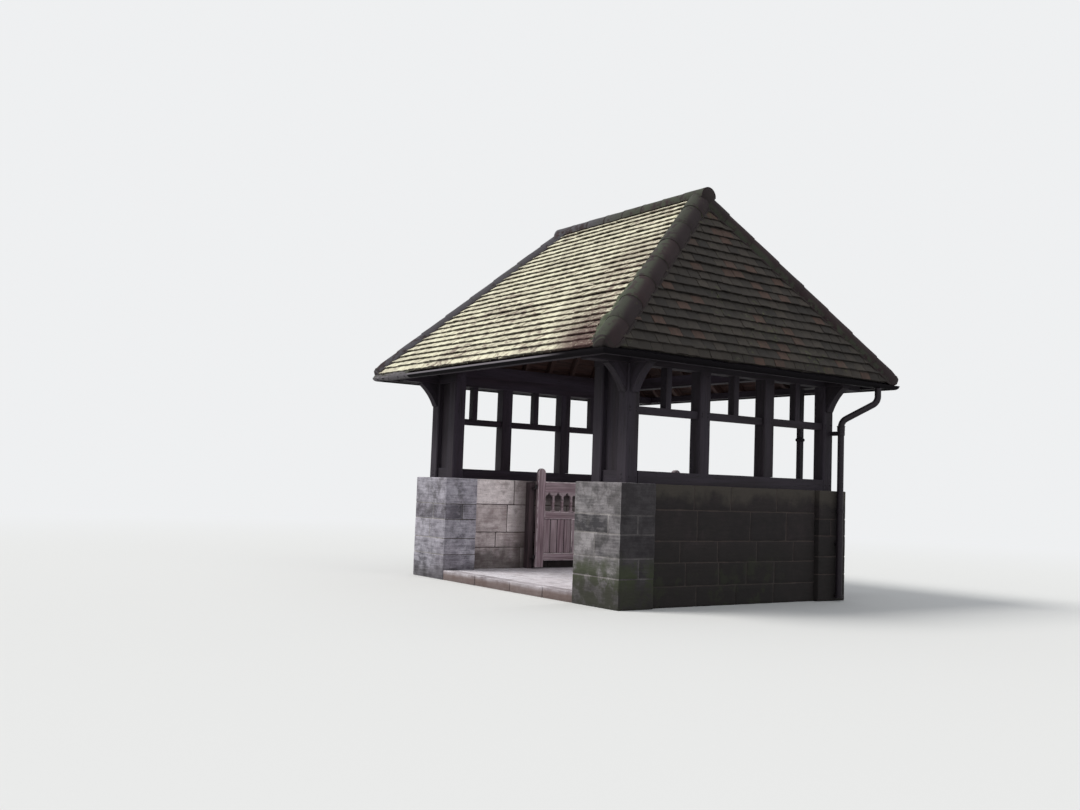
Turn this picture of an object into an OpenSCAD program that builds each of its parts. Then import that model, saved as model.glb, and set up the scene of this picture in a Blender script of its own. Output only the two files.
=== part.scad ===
// Lychgate: stone piers and side walls, an oak frame, a hipped tiled roof and a pair of oak gates.
// Origin on the ground at the middle of the plan. X runs across the passage, -Y is the front.

/* [Masonry] */
// Clear width of the passage between the piers
passage_w = 2726; // [2400:1:3200]
// Width of a pier across the passage
pier_w = 775; // [700:1:900]
// Depth of a pier along the passage
pier_d = 476; // [440:1:560]
// Depth of the building from front pier face to back pier face
plan_d = 3516; // [3300:1:4000]
// Height of the piers and the side walls
pier_h = 1300; // [1280:1:1450]
// Set-back of a side wall behind the outer pier face
wall_out = 60; // [20:1:80]
// Set-back of a side wall behind the inner pier face
wall_in = 150; // [130:1:200]
// Depth of the walls' top course
coping_h = 270; // [180:1:320]
// Height of the paved floor slab
floor_h = 120; // [80:1:140]

/* [Oak frame] */
// Side of the square corner and side posts
post = 163; // [140:1:180]
// Set-back of the frame behind the outer pier face
frame_in = 97; // [85:1:120]
// Set-back of the frame behind the front and back pier faces
frame_back = 136; // [100:1:150]
// Width of the inner post on a front pier
jamb_w = 160; // [120:1:180]
// Set-back of that inner post behind the inner pier face
jamb_in = 90; // [60:1:120]
// Width of the slim inner upright on a back pier
slim_w = 60; // [45:1:80]
// Set-back of the slim upright behind the inner pier face
slim_in = 207; // [180:1:230]
// Clear width of the middle side light
mid_light = 854; // [780:1:940]
// Height of the sill beams
sill_h = 130; // [100:1:150]
// Height of the underside of the transoms above the ground
transom_z = 2030; // [1900:1:2150]
// Depth of the transoms
transom_h = 80; // [60:1:110]
// Width of the mullions above the transoms
mullion_w = 75; // [55:1:100]
// Thickness of transoms, mullions and pier rails
light_t = 95; // [70:1:120]
// Thickness of the boarded panels on the front piers
panel_t = 32; // [20:1:50]
// Height of the underside of the wall plates above the ground
plate_z = 2550; // [2450:1:2560]
// Depth of the wall plates, tie beams and upper plates
plate_h = 150; // [120:1:160]
// Width of the chamfers along the posts
chamfer = 12; // [5:1:18]
// Height of the collar on a slim upright above the ground
collar_z = 1920; // [1800:1:2000]
// Half width of that collar
collar_r = 56; // [45:1:70]

/* [Brackets] */
// Reach of the curved brackets below the front and back plate ends
bracket_out = 245; // [200:1:420]
// Drop of the curved brackets
bracket_drop = 300; // [220:1:340]
// Thickness of a bracket at its toe and at its tip
bracket_tip = 20; // [12:1:60]
// Radius of a bracket's hollow curve
bracket_r = 650; // [350:1:900]
// Width of a bracket
bracket_w = 105; // [80:1:130]

/* [Roof] */
// Reach of the gutter lip past the outer pier faces
over_side = 337; // [310:1:420]
// Reach of the gutter lip past the front and back pier faces
over_front = 562; // [520:1:640]
// Half the length of the roof's top edge
ridge_half = 1370; // [1100:1:1450]
// Height of the tile tops at the eaves
eave_z = 2690; // [2680:1:2720]
// Height of the crossing of the tile planes at the ridge
ridge_z = 4790; // [4500:1:5000]
// Vertical depth of tiles, battens and boards
roof_deep = 100; // [90:1:115]
// Vertical depth of the rafters of the front and back slopes
main_drop = 136; // [110:1:150]
// Vertical depth of the rafters of the hipped ends
end_drop = 190; // [150:1:210]
// Width of a rafter
rafter_w = 62; // [50:1:80]
// Spacing of the rafters
rafter_gap = 420; // [350:1:500]
// Width of the ridge beam and of the hip rafters
spine_w = 50; // [40:1:60]
// Depth of the ridge beam
spine_h = 190; // [150:1:230]
// Vertical depth of the hip rafters
hip_drop = 210; // [150:1:230]
// Width of the eaves plates
eaves_w = 90; // [70:1:110]
// Depth of the eaves plates
eaves_h = 80; // [60:1:85]

/* [Tile covers] */
// Half width of the half-round ridge tiles
ridge_r = 118; // [100:1:140]
// Rise of the ridge tile tops above the crossing of the tile planes
ridge_rise = 60; // [50:1:80]
// Half width of the half-round hip tiles
hip_r = 140; // [120:1:150]
// Depth of the hip tiles' centre line below the hip edge, square to it
hip_sink = 90; // [70:1:100]
// Reach of the hip tiles past the corner of the tile planes
hip_over = 45; // [20:1:50]

/* [Gutter and downpipe] */
// Outer radius of the half-round gutter
gutter_r = 50; // [44:1:52]
// Wall thickness of gutter and pipe
iron_t = 5; // [3:1:7]
// Drop of the gutter's rim below the tile tops at the eaves
gutter_drop = 84; // [70:1:95]
// Radius of the downpipe
pipe_r = 38; // [32:1:42]
// Gap between the downpipe and the pier
pipe_gap = 14; // [8:1:20]
// Distance of the downpipe before the back pier face
pipe_in = 170; // [150:1:200]
// Height of the lower bend of the swan neck
neck_z = 2066; // [1980:1:2100]
// Rise of the swan neck over its two bends
neck_rise = 390; // [340:1:410]

/* [Gates] */
// Thickness of a gate leaf
leaf_t = 50; // [40:1:60]
// Gap between the two closed leaves
meet_gap = 10; // [8:1:14]
// Gap between a leaf's hanging edge and its pins
pin_back = 20; // [18:1:26]
// Distance of the pins before the middle of the passage's length
pin_front = 362; // [300:1:420]
// Width of the tall hanging stile
stile_w = 122; // [100:1:140]
// Width of the meeting stile and of the muntin
muntin_w = 130; // [110:1:150]
// Height of the hanging stile's head above the ground
stile_top = 1475; // [1400:1:1500]
// Gap between the hanging stile's foot and the floor
stile_foot = 20; // [12:1:30]
// Height of the underside of the bottom rail above the ground
rail_z = 232; // [200:1:280]
// Depth of the bottom and middle rails
rail_h = 98; // [75:1:105]
// Height of the underside of the middle rail above the ground
mid_z = 792; // [740:1:850]
// Depth of the top rail
head_h = 142; // [100:1:150]
// Height of the top of the gate above the ground
gate_top = 1300; // [1240:1:1310]
// Width of the weathering along the top rail's upper edges
rail_slope = 16; // [8:1:22]
// Thickness of the boards in the lower bays
board_t = 22; // [16:1:26]
// Set-back of the boards behind the middle of the leaf
board_back = 8; // [2:1:11]
// Thickness of the pierced arcade above the middle rail
trace_t = 30; // [20:1:40]
// Number of pierced lights in a leaf
light_count = 7; // [5:1:9]
// Width of the bars between the pierced lights
trace_bar = 27; // [24:1:42]
// How far a light's straight sides lie inside its rounded corners
light_tuck = 0.5; // [0.3:0.1:1]
// Radius of a gate pin
pin_r = 9; // [7:0.5:10]
// Running clearance between a pin and its eye
pin_fit = 0.05; // [0.02:0.01:0.1]
// Width of a gate post along the passage
gate_post_w = 85; // [70:1:110]
// Depth of a gate post out from its wall
gate_post_d = 88; // [70:1:100]

/* [Hidden] */
$fn = 48;

// Lengths that small details share
over = 20;
joint = 1;

// Plan lines measured from the middle of the building
pass_x = passage_w / 2;
out_x = pass_x + pier_w;
out_y = plan_d / 2;
pier_y = out_y - pier_d;
wall_inner_x = pass_x + wall_in;
wall_outer_x = out_x - wall_out;
frame_x = out_x - frame_in;
frame_y = out_y - frame_back;
post_mid_x = frame_x - post / 2;
post_mid_y = frame_y - post / 2;
jamb_x = pass_x + jamb_in;
slim_x = pass_x + slim_in;
span_y = 2 * (frame_y - post);
post_at = mid_light / 2 + post / 2;
side_light = (span_y - mid_light - 2 * post) / 2;
sill_top = pier_h + sill_h;
collar_edge = collar_r / 5;

// Roof lines
drip_share = 0.7;
drip = gutter_r * drip_share;
lip_x = out_x + over_side;
lip_y = out_y + over_front;
roof_x = lip_x - drip;
roof_y = lip_y - drip;
foot_x = lip_x - 2 * gutter_r;
foot_y = lip_y - 2 * gutter_r;
gutter_z = eave_z - gutter_drop;
hip_run = roof_x - ridge_half;
foot_z = eave_z - roof_deep + (roof_y - foot_y) * (ridge_z - eave_z) / roof_y;
hip_plan = sqrt(hip_run * hip_run + roof_y * roof_y);
hip_turn = atan2(roof_y, hip_run);
hip_rise = ridge_z - eave_z;
hip_slope = atan2(hip_rise, hip_plan);
hip_len = sqrt(hip_plan * hip_plan + hip_rise * hip_rise);
// Lean of the hip tiles away from upright, so that they sit evenly on both slopes
main_up = [0, hip_rise, roof_y] / norm([hip_rise, roof_y]);
end_up = [hip_rise, 0, hip_run] / norm([hip_rise, hip_run]);
hip_out = main_up + end_up;
hip_lean = atan2(hip_out * [sin(hip_turn), -cos(hip_turn), 0],
                 hip_out * [cos(hip_turn) * sin(hip_slope), sin(hip_turn) * sin(hip_slope), cos(hip_slope)]);
reach_share = 1.1;

// Downpipe
pipe_x = out_x + pipe_gap + pipe_r;
pipe_y = out_y - pipe_in;
pipe_foot = 40;
neck_out = lip_x - gutter_r - pipe_x;
neck_along = 380;
neck_flat = sqrt(neck_out * neck_out + neck_along * neck_along);
neck_aim = atan2(neck_along, neck_out);
neck_top = neck_z + neck_rise;
bend_r = 120;
// Turn of each bend, at which two bends and one straight length reach the gutter
neck_turn = neck_angle(bend_r, neck_flat, neck_rise);
bend_out = bend_r * (1 - cos(neck_turn));
bend_up = bend_r * sin(neck_turn);
neck_len = norm([neck_flat - 2 * bend_out, neck_rise - 2 * bend_up]);
pipe_joint = 0.3;
clip_t = 7;
clip_h = 50;
clip_w = 40;

// Gates
pin_x = pass_x - leaf_t / 2;
leaf_w = pin_x - pin_back - meet_gap / 2;
bay_w = (leaf_w - stile_w - 2 * muntin_w) / 2;
bay_low = rail_z + rail_h;
bay_high = mid_z + rail_h;
bay_head = gate_top - head_h;
strap_h = 42;
strap_t = 6;
strap_l = 560;
eye_r = 17;
shank_h = 12;
pin_up = 12;
strap_low = rail_z + rail_h / 2;
strap_high = gate_top - rail_slope - (head_h - rail_slope) / 2;
gate_post_x = wall_inner_x - gate_post_d;
gate_post_top = pier_h - over;
// Corner and head radius as shares of a light's width, and the neck's as a share of the head's
corner_share = 0.27;
head_share = 0.17;
neck_share = 0.8;
// Heights of the two cusps and half of the lap of the lobes, as shares of a light's height
lobe_shares = [0.53, 0.88];
lobe_lap = 0.045;

// Angle from upright of the line that touches both bends of a swan neck
function neck_angle(radius, flat, rise) =
    let (gap = norm([flat - 2 * radius, rise])) atan2(flat - 2 * radius, rise) + asin(2 * radius / gap);

module both() {
    children();
    mirror([1, 0, 0]) children();
}

module ends() {
    children();
    mirror([0, 1, 0]) children();
}

module four() {
    both() ends() children();
}

// Box given by its lowest corner and its highest corner
module block(low, high) {
    translate(low) cube(high - low);
}

// Upright timber with chamfered edges, given like a box
module upright(low, high, edge) {
    size = high - low;
    translate(low) linear_extrude(size[2])
        polygon([[edge, 0], [size[0] - edge, 0], [size[0], edge], [size[0], size[1] - edge],
                 [size[0] - edge, size[1]], [edge, size[1]], [0, size[1] - edge], [0, edge]]);
}

// Masonry, from the pier at +X +Y
module pier() {
    color("dimgray") block([pass_x, pier_y, 0], [out_x, out_y, pier_h]);
}

module pier_front_left() mirror([1, 0, 0]) mirror([0, 1, 0]) pier();
module pier_front_right() mirror([0, 1, 0]) pier();
module pier_back_left() mirror([1, 0, 0]) pier();
module pier_back_right() pier();

module wall_right() {
    color("gray") block([wall_inner_x, -pier_y, 0], [wall_outer_x, pier_y, pier_h - coping_h]);
}

module wall_left() mirror([1, 0, 0]) wall_right();

module copings() {
    color("darkgray") both()
        block([wall_inner_x, -pier_y, pier_h - coping_h], [wall_outer_x, pier_y, pier_h]);
}

module floor_slab() {
    color("gray") union() {
        block([-pass_x, -out_y, 0], [pass_x, out_y, floor_h]);
        block([-wall_inner_x, -pier_y, 0], [wall_inner_x, pier_y, floor_h]);
    }
}

// Oak frame
module sill_beams() {
    color("#3a2f35") both()
        block([frame_x - post, post - frame_y, pier_h], [frame_x, frame_y - post, sill_top]);
}

module pier_posts() {
    color("#33292f") {
        four() upright([frame_x - post, frame_y - post, pier_h], [frame_x, frame_y, plate_z], chamfer);
        both() mirror([0, 1, 0])
            upright([jamb_x, frame_y - post, pier_h], [jamb_x + jamb_w, frame_y, plate_z], chamfer);
    }
}

module back_uprights() {
    color("#33292f") both() union() {
        block([slim_x, post_mid_y - slim_w / 2, pier_h], [slim_x + slim_w, post_mid_y + slim_w / 2, plate_z]);
        translate([slim_x + slim_w / 2, post_mid_y, collar_z]) rotate_extrude()
            polygon([[0, -collar_r], [collar_r, -collar_edge], [collar_r, collar_edge], [0, collar_r]]);
    }
}

module side_posts() {
    color("#33292f") four()
        upright([frame_x - post, post_at - post / 2, sill_top], [frame_x, post_at + post / 2, plate_z], chamfer);
}

module pier_rails() {
    color("#3a2f35") both() {
        mirror([0, 1, 0])
            block([jamb_x + jamb_w, post_mid_y - light_t / 2, pier_h],
                  [frame_x - post, post_mid_y + light_t / 2, sill_top]);
        block([slim_x + slim_w, post_mid_y - light_t / 2, pier_h],
              [frame_x - post, post_mid_y + light_t / 2, sill_top]);
    }
}

module front_panels() {
    color("#2d2429") both() mirror([0, 1, 0])
        block([jamb_x + jamb_w, post_mid_y - panel_t / 2, sill_top],
              [frame_x - post, post_mid_y + panel_t / 2, plate_z]);
}

module transom(mid, width) {
    translate([post_mid_x - light_t / 2, mid - width / 2, transom_z]) cube([light_t, width, transom_h]);
}

module transoms() {
    color("#3a2f35") both() {
        transom(0, mid_light);
        ends() transom(post_at + post / 2 + side_light / 2, side_light);
    }
}

module mullion(mid) {
    translate([post_mid_x - light_t / 2, mid - mullion_w / 2, transom_z + transom_h])
        cube([light_t, mullion_w, plate_z - transom_z - transom_h]);
}

module mullions() {
    color("#3a2f35") both() {
        mullion(0);
        ends() mullion(post_at + post / 2 + side_light / 2);
    }
}

// Plate with its two ends cut down to carry the front and back eaves plates
module wall_plates() {
    color("#33292f") both() union() {
        block([frame_x - post, -frame_y, plate_z], [frame_x, frame_y, plate_z + plate_h]);
        block([frame_x - post, eaves_w - foot_y, plate_z], [frame_x, foot_y - eaves_w, foot_z]);
    }
}

// Short rails over the pier frames, and their outer stubs under the side eaves
module head_rails() {
    color("#33292f") {
        both() mirror([0, 1, 0])
            block([jamb_x, frame_y - post, plate_z], [frame_x - post, frame_y, plate_z + plate_h]);
        both()
            block([slim_x, frame_y - post, plate_z], [frame_x - post, frame_y, plate_z + plate_h]);
        four() block([frame_x, frame_y - post, plate_z], [foot_x - eaves_w, frame_y, foot_z]);
    }
}

module tie_beams() {
    color("#33292f") ends()
        block([-frame_x, frame_y - post, plate_z + plate_h], [frame_x, frame_y, plate_z + 2 * plate_h]);
}

module upper_plates() {
    color("#33292f") both()
        block([frame_x - post, post - frame_y, plate_z + plate_h],
              [frame_x, frame_y - post, plate_z + 2 * plate_h]);
}

// Bracket outline: X is the reach, Y the height below the beam, with one hollow curve
module bracket_outline(reach) {
    chord_x = reach - bracket_tip;
    chord_y = bracket_drop - bracket_tip;
    chord = sqrt(chord_x * chord_x + chord_y * chord_y);
    rise = sqrt(bracket_r * bracket_r - chord * chord / 4);
    mid_x = bracket_tip + chord_x / 2;
    mid_y = -bracket_tip - chord_y / 2;
    difference() {
        translate([0, -bracket_drop]) square([reach, bracket_drop]);
        translate([mid_x + rise * chord_y / chord, mid_y - rise * chord_x / chord]) circle(bracket_r);
    }
}

module end_brackets() {
    color("#33292f") four()
        translate([post_mid_x - bracket_w / 2, frame_y, plate_z])
            rotate([90, 0, 90]) linear_extrude(bracket_w) bracket_outline(bracket_out);
}

module side_brackets() {
    color("#33292f") four()
        translate([frame_x, post_mid_y + bracket_w / 2, plate_z])
            rotate([90, 0, 0]) linear_extrude(bracket_w) bracket_outline(foot_x - eaves_w - frame_x);
}

module eaves_plates() {
    color("#33292f") ends()
        block([-foot_x, foot_y - eaves_w, foot_z - eaves_h], [foot_x, foot_y, foot_z]);
}

module eaves_plates_side() {
    color("#33292f") both()
        block([foot_x - eaves_w, eaves_w - foot_y, foot_z - eaves_h], [foot_x, foot_y - eaves_w, foot_z]);
}

// Everything below the tile planes lowered by a given depth, out to a share of the slopes
module roof_under(depth, reach = 1) {
    x = ridge_half + hip_run * reach;
    y = roof_y * reach;
    low = ridge_z - hip_rise * reach - depth;
    intersection() {
        translate([-x, 0, 0]) rotate([90, 0, 90]) linear_extrude(2 * x)
            polygon([[-y, 0], [y, 0], [y, low], [0, ridge_z - depth], [-y, low]]);
        translate([0, y, 0]) rotate([90, 0, 0]) linear_extrude(2 * y)
            polygon([[-x, 0], [x, 0], [x, low], [ridge_half, ridge_z - depth], [-ridge_half, ridge_z - depth], [-x, low]]);
    }
}

module roof_layer(top, bottom) {
    difference() {
        roof_under(top);
        roof_under(bottom);
    }
}

// Plan of the back slope and of the right-hand hipped end
module back_plan() {
    far_x = ridge_half + hip_run * reach_share;
    far_y = roof_y * reach_share;
    linear_extrude(ridge_z + over) polygon([[-ridge_half, 0], [ridge_half, 0], [far_x, far_y], [-far_x, far_y]]);
}

module right_plan() {
    far_x = ridge_half + hip_run * reach_share;
    far_y = roof_y * reach_share;
    linear_extrude(ridge_z + over) polygon([[ridge_half, 0], [far_x, -far_y], [far_x, far_y]]);
}

module roof_back() {
    color("#8c8468") intersection() {
        roof_layer(0, roof_deep);
        back_plan();
    }
}

module roof_front() mirror([0, 1, 0]) roof_back();

module roof_right() {
    color("#5a4a40") intersection() {
        roof_layer(0, roof_deep);
        right_plan();
    }
}

module roof_left() mirror([1, 0, 0]) roof_right();

// Upright fin below a hip edge, seen in plan
module hip_fin(width) {
    translate([roof_x, roof_y, 0]) rotate([0, 0, hip_turn + 180])
        translate([0, -width / 2, foot_z]) cube([hip_plan, width, ridge_z - foot_z]);
}

module ridge_box() {
    block([-ridge_half - spine_w, -spine_w / 2, ridge_z - roof_deep - spine_h],
          [ridge_half + spine_w, spine_w / 2, ridge_z]);
}

// Space that the hip rafters and the rafters leave for the ridge beam
module ridge_slot() {
    block([-ridge_half - spine_w, -spine_w / 2, foot_z], [ridge_half + spine_w, spine_w / 2, ridge_z]);
}

module ridge_beam() {
    color("#4a3a34") intersection() {
        ridge_box();
        roof_under(roof_deep);
    }
}

module eave_box() {
    block([-foot_x, -foot_y, foot_z], [foot_x, foot_y, ridge_z]);
}

module hip_rafters() {
    color("#4a3a34") four() difference() {
        intersection() {
            hip_fin(spine_w);
            roof_layer(roof_deep, roof_deep + hip_drop);
            eave_box();
        }
        ridge_slot();
    }
}

module main_rafters() {
    count = floor((foot_x - rafter_w) / rafter_gap);
    color("#4a3a34") ends() difference() {
        intersection() {
            roof_layer(roof_deep, roof_deep + main_drop);
            back_plan();
            eave_box();
            for (i = [-count:count])
                block([i * rafter_gap - rafter_w / 2, 0, 0], [i * rafter_gap + rafter_w / 2, roof_y, ridge_z]);
        }
        ridge_slot();
        both() hip_fin(spine_w);
    }
}

module end_rafters() {
    count = floor((foot_y - rafter_w) / rafter_gap);
    color("#4a3a34") both() difference() {
        intersection() {
            roof_layer(roof_deep, roof_deep + end_drop);
            right_plan();
            eave_box();
            for (i = [-count:count])
                block([0, i * rafter_gap - rafter_w / 2, 0], [roof_x, i * rafter_gap + rafter_w / 2, ridge_z]);
        }
        ridge_slot();
        ends() hip_fin(spine_w);
    }
}

// Half-round cover with straight skirts that the roof cuts off
module cover_outline(radius) {
    circle(radius);
    translate([-radius, -2 * radius]) square([2 * radius, 2 * radius]);
}

module ridge_cover() {
    translate([-ridge_half - ridge_r, 0, ridge_z + ridge_rise - ridge_r])
        rotate([90, 0, 90]) linear_extrude(2 * ridge_half + 2 * ridge_r) cover_outline(ridge_r);
}

module hip_cover() {
    translate([roof_x, roof_y, eave_z]) rotate([0, 0, hip_turn + 180]) rotate([0, -hip_slope, 0])
        rotate([-hip_lean, 0, 0]) translate([-hip_over, 0, -hip_sink])
            rotate([90, 0, 90]) linear_extrude(hip_len + hip_over) cover_outline(hip_r);
}

module ridge_tiles() {
    color("#6b4a3c") difference() {
        ridge_cover();
        roof_under(0);
    }
}

module hip_tiles() {
    color("#6b5a48") four() difference() {
        intersection() {
            hip_cover();
            block([0, joint / 2, gutter_z], [lip_x, lip_y, ridge_z + ridge_r]);
        }
        roof_under(0, reach_share);
        ridge_cover();
    }
}

// Half-round gutter, mitred at the corners with a narrow joint
module gutter_outline() {
    difference() {
        circle(gutter_r);
        circle(gutter_r - iron_t);
        translate([-gutter_r - over, 0]) square([2 * (gutter_r + over), gutter_r + over]);
    }
}

module gutter_run(length, reach) {
    intersection() {
        translate([-length / 2, reach - gutter_r, gutter_z])
            rotate([90, 0, 90]) linear_extrude(length) gutter_outline();
        linear_extrude(eave_z) polygon([[0, reach - length / 2 + joint], [length / 2 - joint, reach],
                                        [joint - length / 2, reach]]);
    }
}

module gutters() {
    color("#4b4a4c") {
        ends() gutter_run(2 * lip_x, lip_y);
        both() rotate([0, 0, -90]) gutter_run(2 * lip_y, lip_x);
    }
}

// Swan-neck route: up the pier, over two bends and out to the gutter
module pipe_outline(radius) {
    difference() {
        circle(radius);
        circle(radius - iron_t);
    }
}

module pipe_straight(length) {
    translate([0, 0, pipe_joint]) linear_extrude(length - 2 * pipe_joint) pipe_outline(pipe_r);
}

module pipe_bend() {
    translate([bend_r, 0, 0]) rotate([90, 0, 180])
        rotate_extrude(angle = neck_turn) translate([bend_r, 0]) pipe_outline(pipe_r);
}

module pipe_route() {
    translate([0, 0, pipe_foot]) pipe_straight(neck_z - pipe_foot);
    translate([0, 0, neck_z]) pipe_bend();
    translate([bend_out, 0, neck_z + bend_up]) rotate([0, neck_turn, 0]) pipe_straight(neck_len);
    translate([neck_flat, 0, neck_top]) mirror([1, 0, 0]) mirror([0, 0, 1]) pipe_bend();
    translate([neck_flat, 0, neck_top]) pipe_straight(gutter_z - gutter_r - neck_top);
}

module downpipe() {
    color("#35313a") translate([pipe_x, pipe_y, 0]) rotate([0, 0, neck_aim]) pipe_route();
}

// Ring round the pipe on a lug from the face that carries it
module pipe_clip(face_x, side_y, height) {
    difference() {
        union() {
            block([face_x, side_y - clip_w / 2, height], [pipe_x, side_y + clip_w / 2, height + clip_h]);
            translate([pipe_x, pipe_y, height]) cylinder(h = clip_h, r = pipe_r + clip_t);
        }
        translate([pipe_x, pipe_y, height - over]) cylinder(h = clip_h + 2 * over, r = pipe_r + pipe_joint);
    }
}

module pipe_clips() {
    color("#35313a") {
        pipe_clip(out_x, pipe_y, pier_h / 2);
        pipe_clip(frame_x, pipe_y, neck_z - 2 * clip_h);
    }
}

// Gates, drawn open against the left wall and mirrored for the right
module gate_posts() {
    color("#3a2f35") both()
        block([gate_post_x, -pin_front - gate_post_w / 2, floor_h],
              [wall_inner_x, gate_post_w / 2 - pin_front, gate_post_top]);
}

module gate_pin(height) {
    shank_z = height - strap_h / 2 - shank_h;
    translate([pin_x, -pin_front, shank_z]) cylinder(h = shank_h + strap_h + pin_up, r = pin_r);
    block([pin_x, -pin_front - pin_r, shank_z], [gate_post_x, pin_r - pin_front, shank_z + shank_h - joint]);
}

module gate_pins() {
    color("#2a262b") both() {
        gate_pin(strap_low);
        gate_pin(strap_high);
    }
}

// Leaf places: u runs from the pins along the leaf, v across its thickness, w is the height
module leaf_block(u0, u1, v0, v1, w0, w1) {
    block([-pin_x + v0, u0 - pin_front, w0], [-pin_x + v1, u1 - pin_front, w1]);
}

module leaf_bar(u0, u1, w0, w1) {
    leaf_block(u0, u1, -leaf_t / 2, leaf_t / 2, w0, w1);
}

u_stile = pin_back + stile_w;
u_muntin = u_stile + bay_w;
u_second = u_muntin + muntin_w;
u_meet = u_second + bay_w;
u_end = pin_back + leaf_w;

// Top rail with both upper edges weathered
module top_rail() {
    half = leaf_t / 2;
    translate([-pin_x, u_stile - pin_front, 0]) rotate([90, 0, 0]) mirror([0, 0, 1])
        linear_extrude(u_end - u_stile)
            polygon([[-half, bay_head], [half, bay_head], [half, gate_top - rail_slope], [half / 3, gate_top],
                     [-half / 3, gate_top], [-half, gate_top - rail_slope]]);
}

module gate_frame() {
    color("#54404a") union() {
        leaf_bar(pin_back, u_stile, floor_h + stile_foot, stile_top - stile_w / 2);
        translate([-pin_x - leaf_t / 2, pin_back + stile_w / 2 - pin_front, stile_top - stile_w / 2])
            rotate([0, 90, 0]) cylinder(h = leaf_t, r = stile_w / 2);
        leaf_bar(u_meet, u_end, rail_z, bay_head);
        leaf_bar(u_stile, u_meet, rail_z, bay_low);
        leaf_bar(u_stile, u_meet, mid_z, bay_high);
        leaf_bar(u_muntin, u_second, bay_low, mid_z);
        top_rail();
    }
}

module gate_boards() {
    face = board_t / 2 - board_back;
    color("#5c4750") {
        leaf_block(u_stile, u_muntin, face - board_t, face, bay_low, mid_z);
        leaf_block(u_second, u_meet, face - board_t, face, bay_low, mid_z);
    }
}

// Rectangle with round corners, centred on X = 0
module soft_rect(width, low, high, radius) {
    translate([light_tuck - width / 2, low + radius])
        square([width - 2 * light_tuck, high - low - 2 * radius]);
    translate([radius - width / 2, low + light_tuck])
        square([width - 2 * radius, high - low - 2 * light_tuck]);
    for (x = [radius - width / 2, width / 2 - radius], y = [low + radius, high - radius])
        translate([x, y]) circle(radius);
}

// Cusped light: a body, a shorter lobe over it and a small round head, standing on Y = 0
module lancet(width, height) {
    radius = width * corner_share;
    head = width * head_share;
    soft_rect(width, 0, height * (lobe_shares[0] + lobe_lap), radius);
    soft_rect(width, height * (lobe_shares[0] - lobe_lap), height * lobe_shares[1], radius);
    translate([0, height - head]) circle(head);
    translate([-head * neck_share, height * lobe_shares[0]])
        square([2 * head * neck_share, height * (1 - lobe_shares[0]) - head]);
}

module gate_tracery() {
    length = u_meet - u_stile;
    rise = bay_head - bay_high;
    edge = trace_bar / 3;
    pitch = (length + trace_bar - 2 * edge) / light_count;
    color("#5c4750") translate([-pin_x - trace_t / 2, u_stile - pin_front, bay_high])
        rotate([90, 0, 90]) linear_extrude(trace_t) difference() {
            square([length, rise]);
            for (i = [0:light_count - 1])
                translate([(i + 0.5) * pitch - trace_bar / 2 + edge, edge])
                    lancet(pitch - trace_bar, rise - 2 * edge);
        }
}

module strap(height) {
    face = leaf_t / 2;
    difference() {
        union() {
            translate([-pin_x, -pin_front, height - strap_h / 2]) cylinder(h = strap_h, r = eye_r);
            leaf_block(0, eye_r, -face - strap_t, -eye_r / 2, height - strap_h / 2, height + strap_h / 2);
            leaf_block(0, strap_l, -face - strap_t, -face, height - strap_h / 2, height + strap_h / 2);
        }
        translate([-pin_x, -pin_front, height - strap_h]) cylinder(h = 2 * strap_h, r = pin_r + pin_fit);
    }
}

module gate_straps() {
    color("#2a262b") {
        strap(strap_low);
        strap(strap_high);
    }
}

module gate_left_frame() gate_frame();
module gate_left_boards() gate_boards();
module gate_left_tracery() gate_tracery();
module gate_left_straps() gate_straps();
module gate_right_frame() mirror([1, 0, 0]) gate_frame();
module gate_right_boards() mirror([1, 0, 0]) gate_boards();
module gate_right_tracery() mirror([1, 0, 0]) gate_tracery();
module gate_right_straps() mirror([1, 0, 0]) gate_straps();

pier_front_left();
pier_front_right();
pier_back_left();
pier_back_right();
wall_left();
wall_right();
copings();
floor_slab();
sill_beams();
pier_posts();
back_uprights();
side_posts();
pier_rails();
front_panels();
transoms();
mullions();
wall_plates();
head_rails();
tie_beams();
upper_plates();
end_brackets();
side_brackets();
eaves_plates();
eaves_plates_side();
main_rafters();
end_rafters();
hip_rafters();
ridge_beam();
roof_front();
roof_back();
roof_left();
roof_right();
hip_tiles();
ridge_tiles();
gutters();
downpipe();
pipe_clips();
gate_posts();
gate_pins();
gate_left_frame();
gate_left_boards();
gate_left_tracery();
gate_left_straps();
gate_right_frame();
gate_right_boards();
gate_right_tracery();
gate_right_straps();
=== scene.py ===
"""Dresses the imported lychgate: stonework, oak frame, tiled roof, rainwater goods and gates.

Lengths are in metres in the frame's own axes: X runs across the passage, -Y is the front and Z is up.
"""

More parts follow.
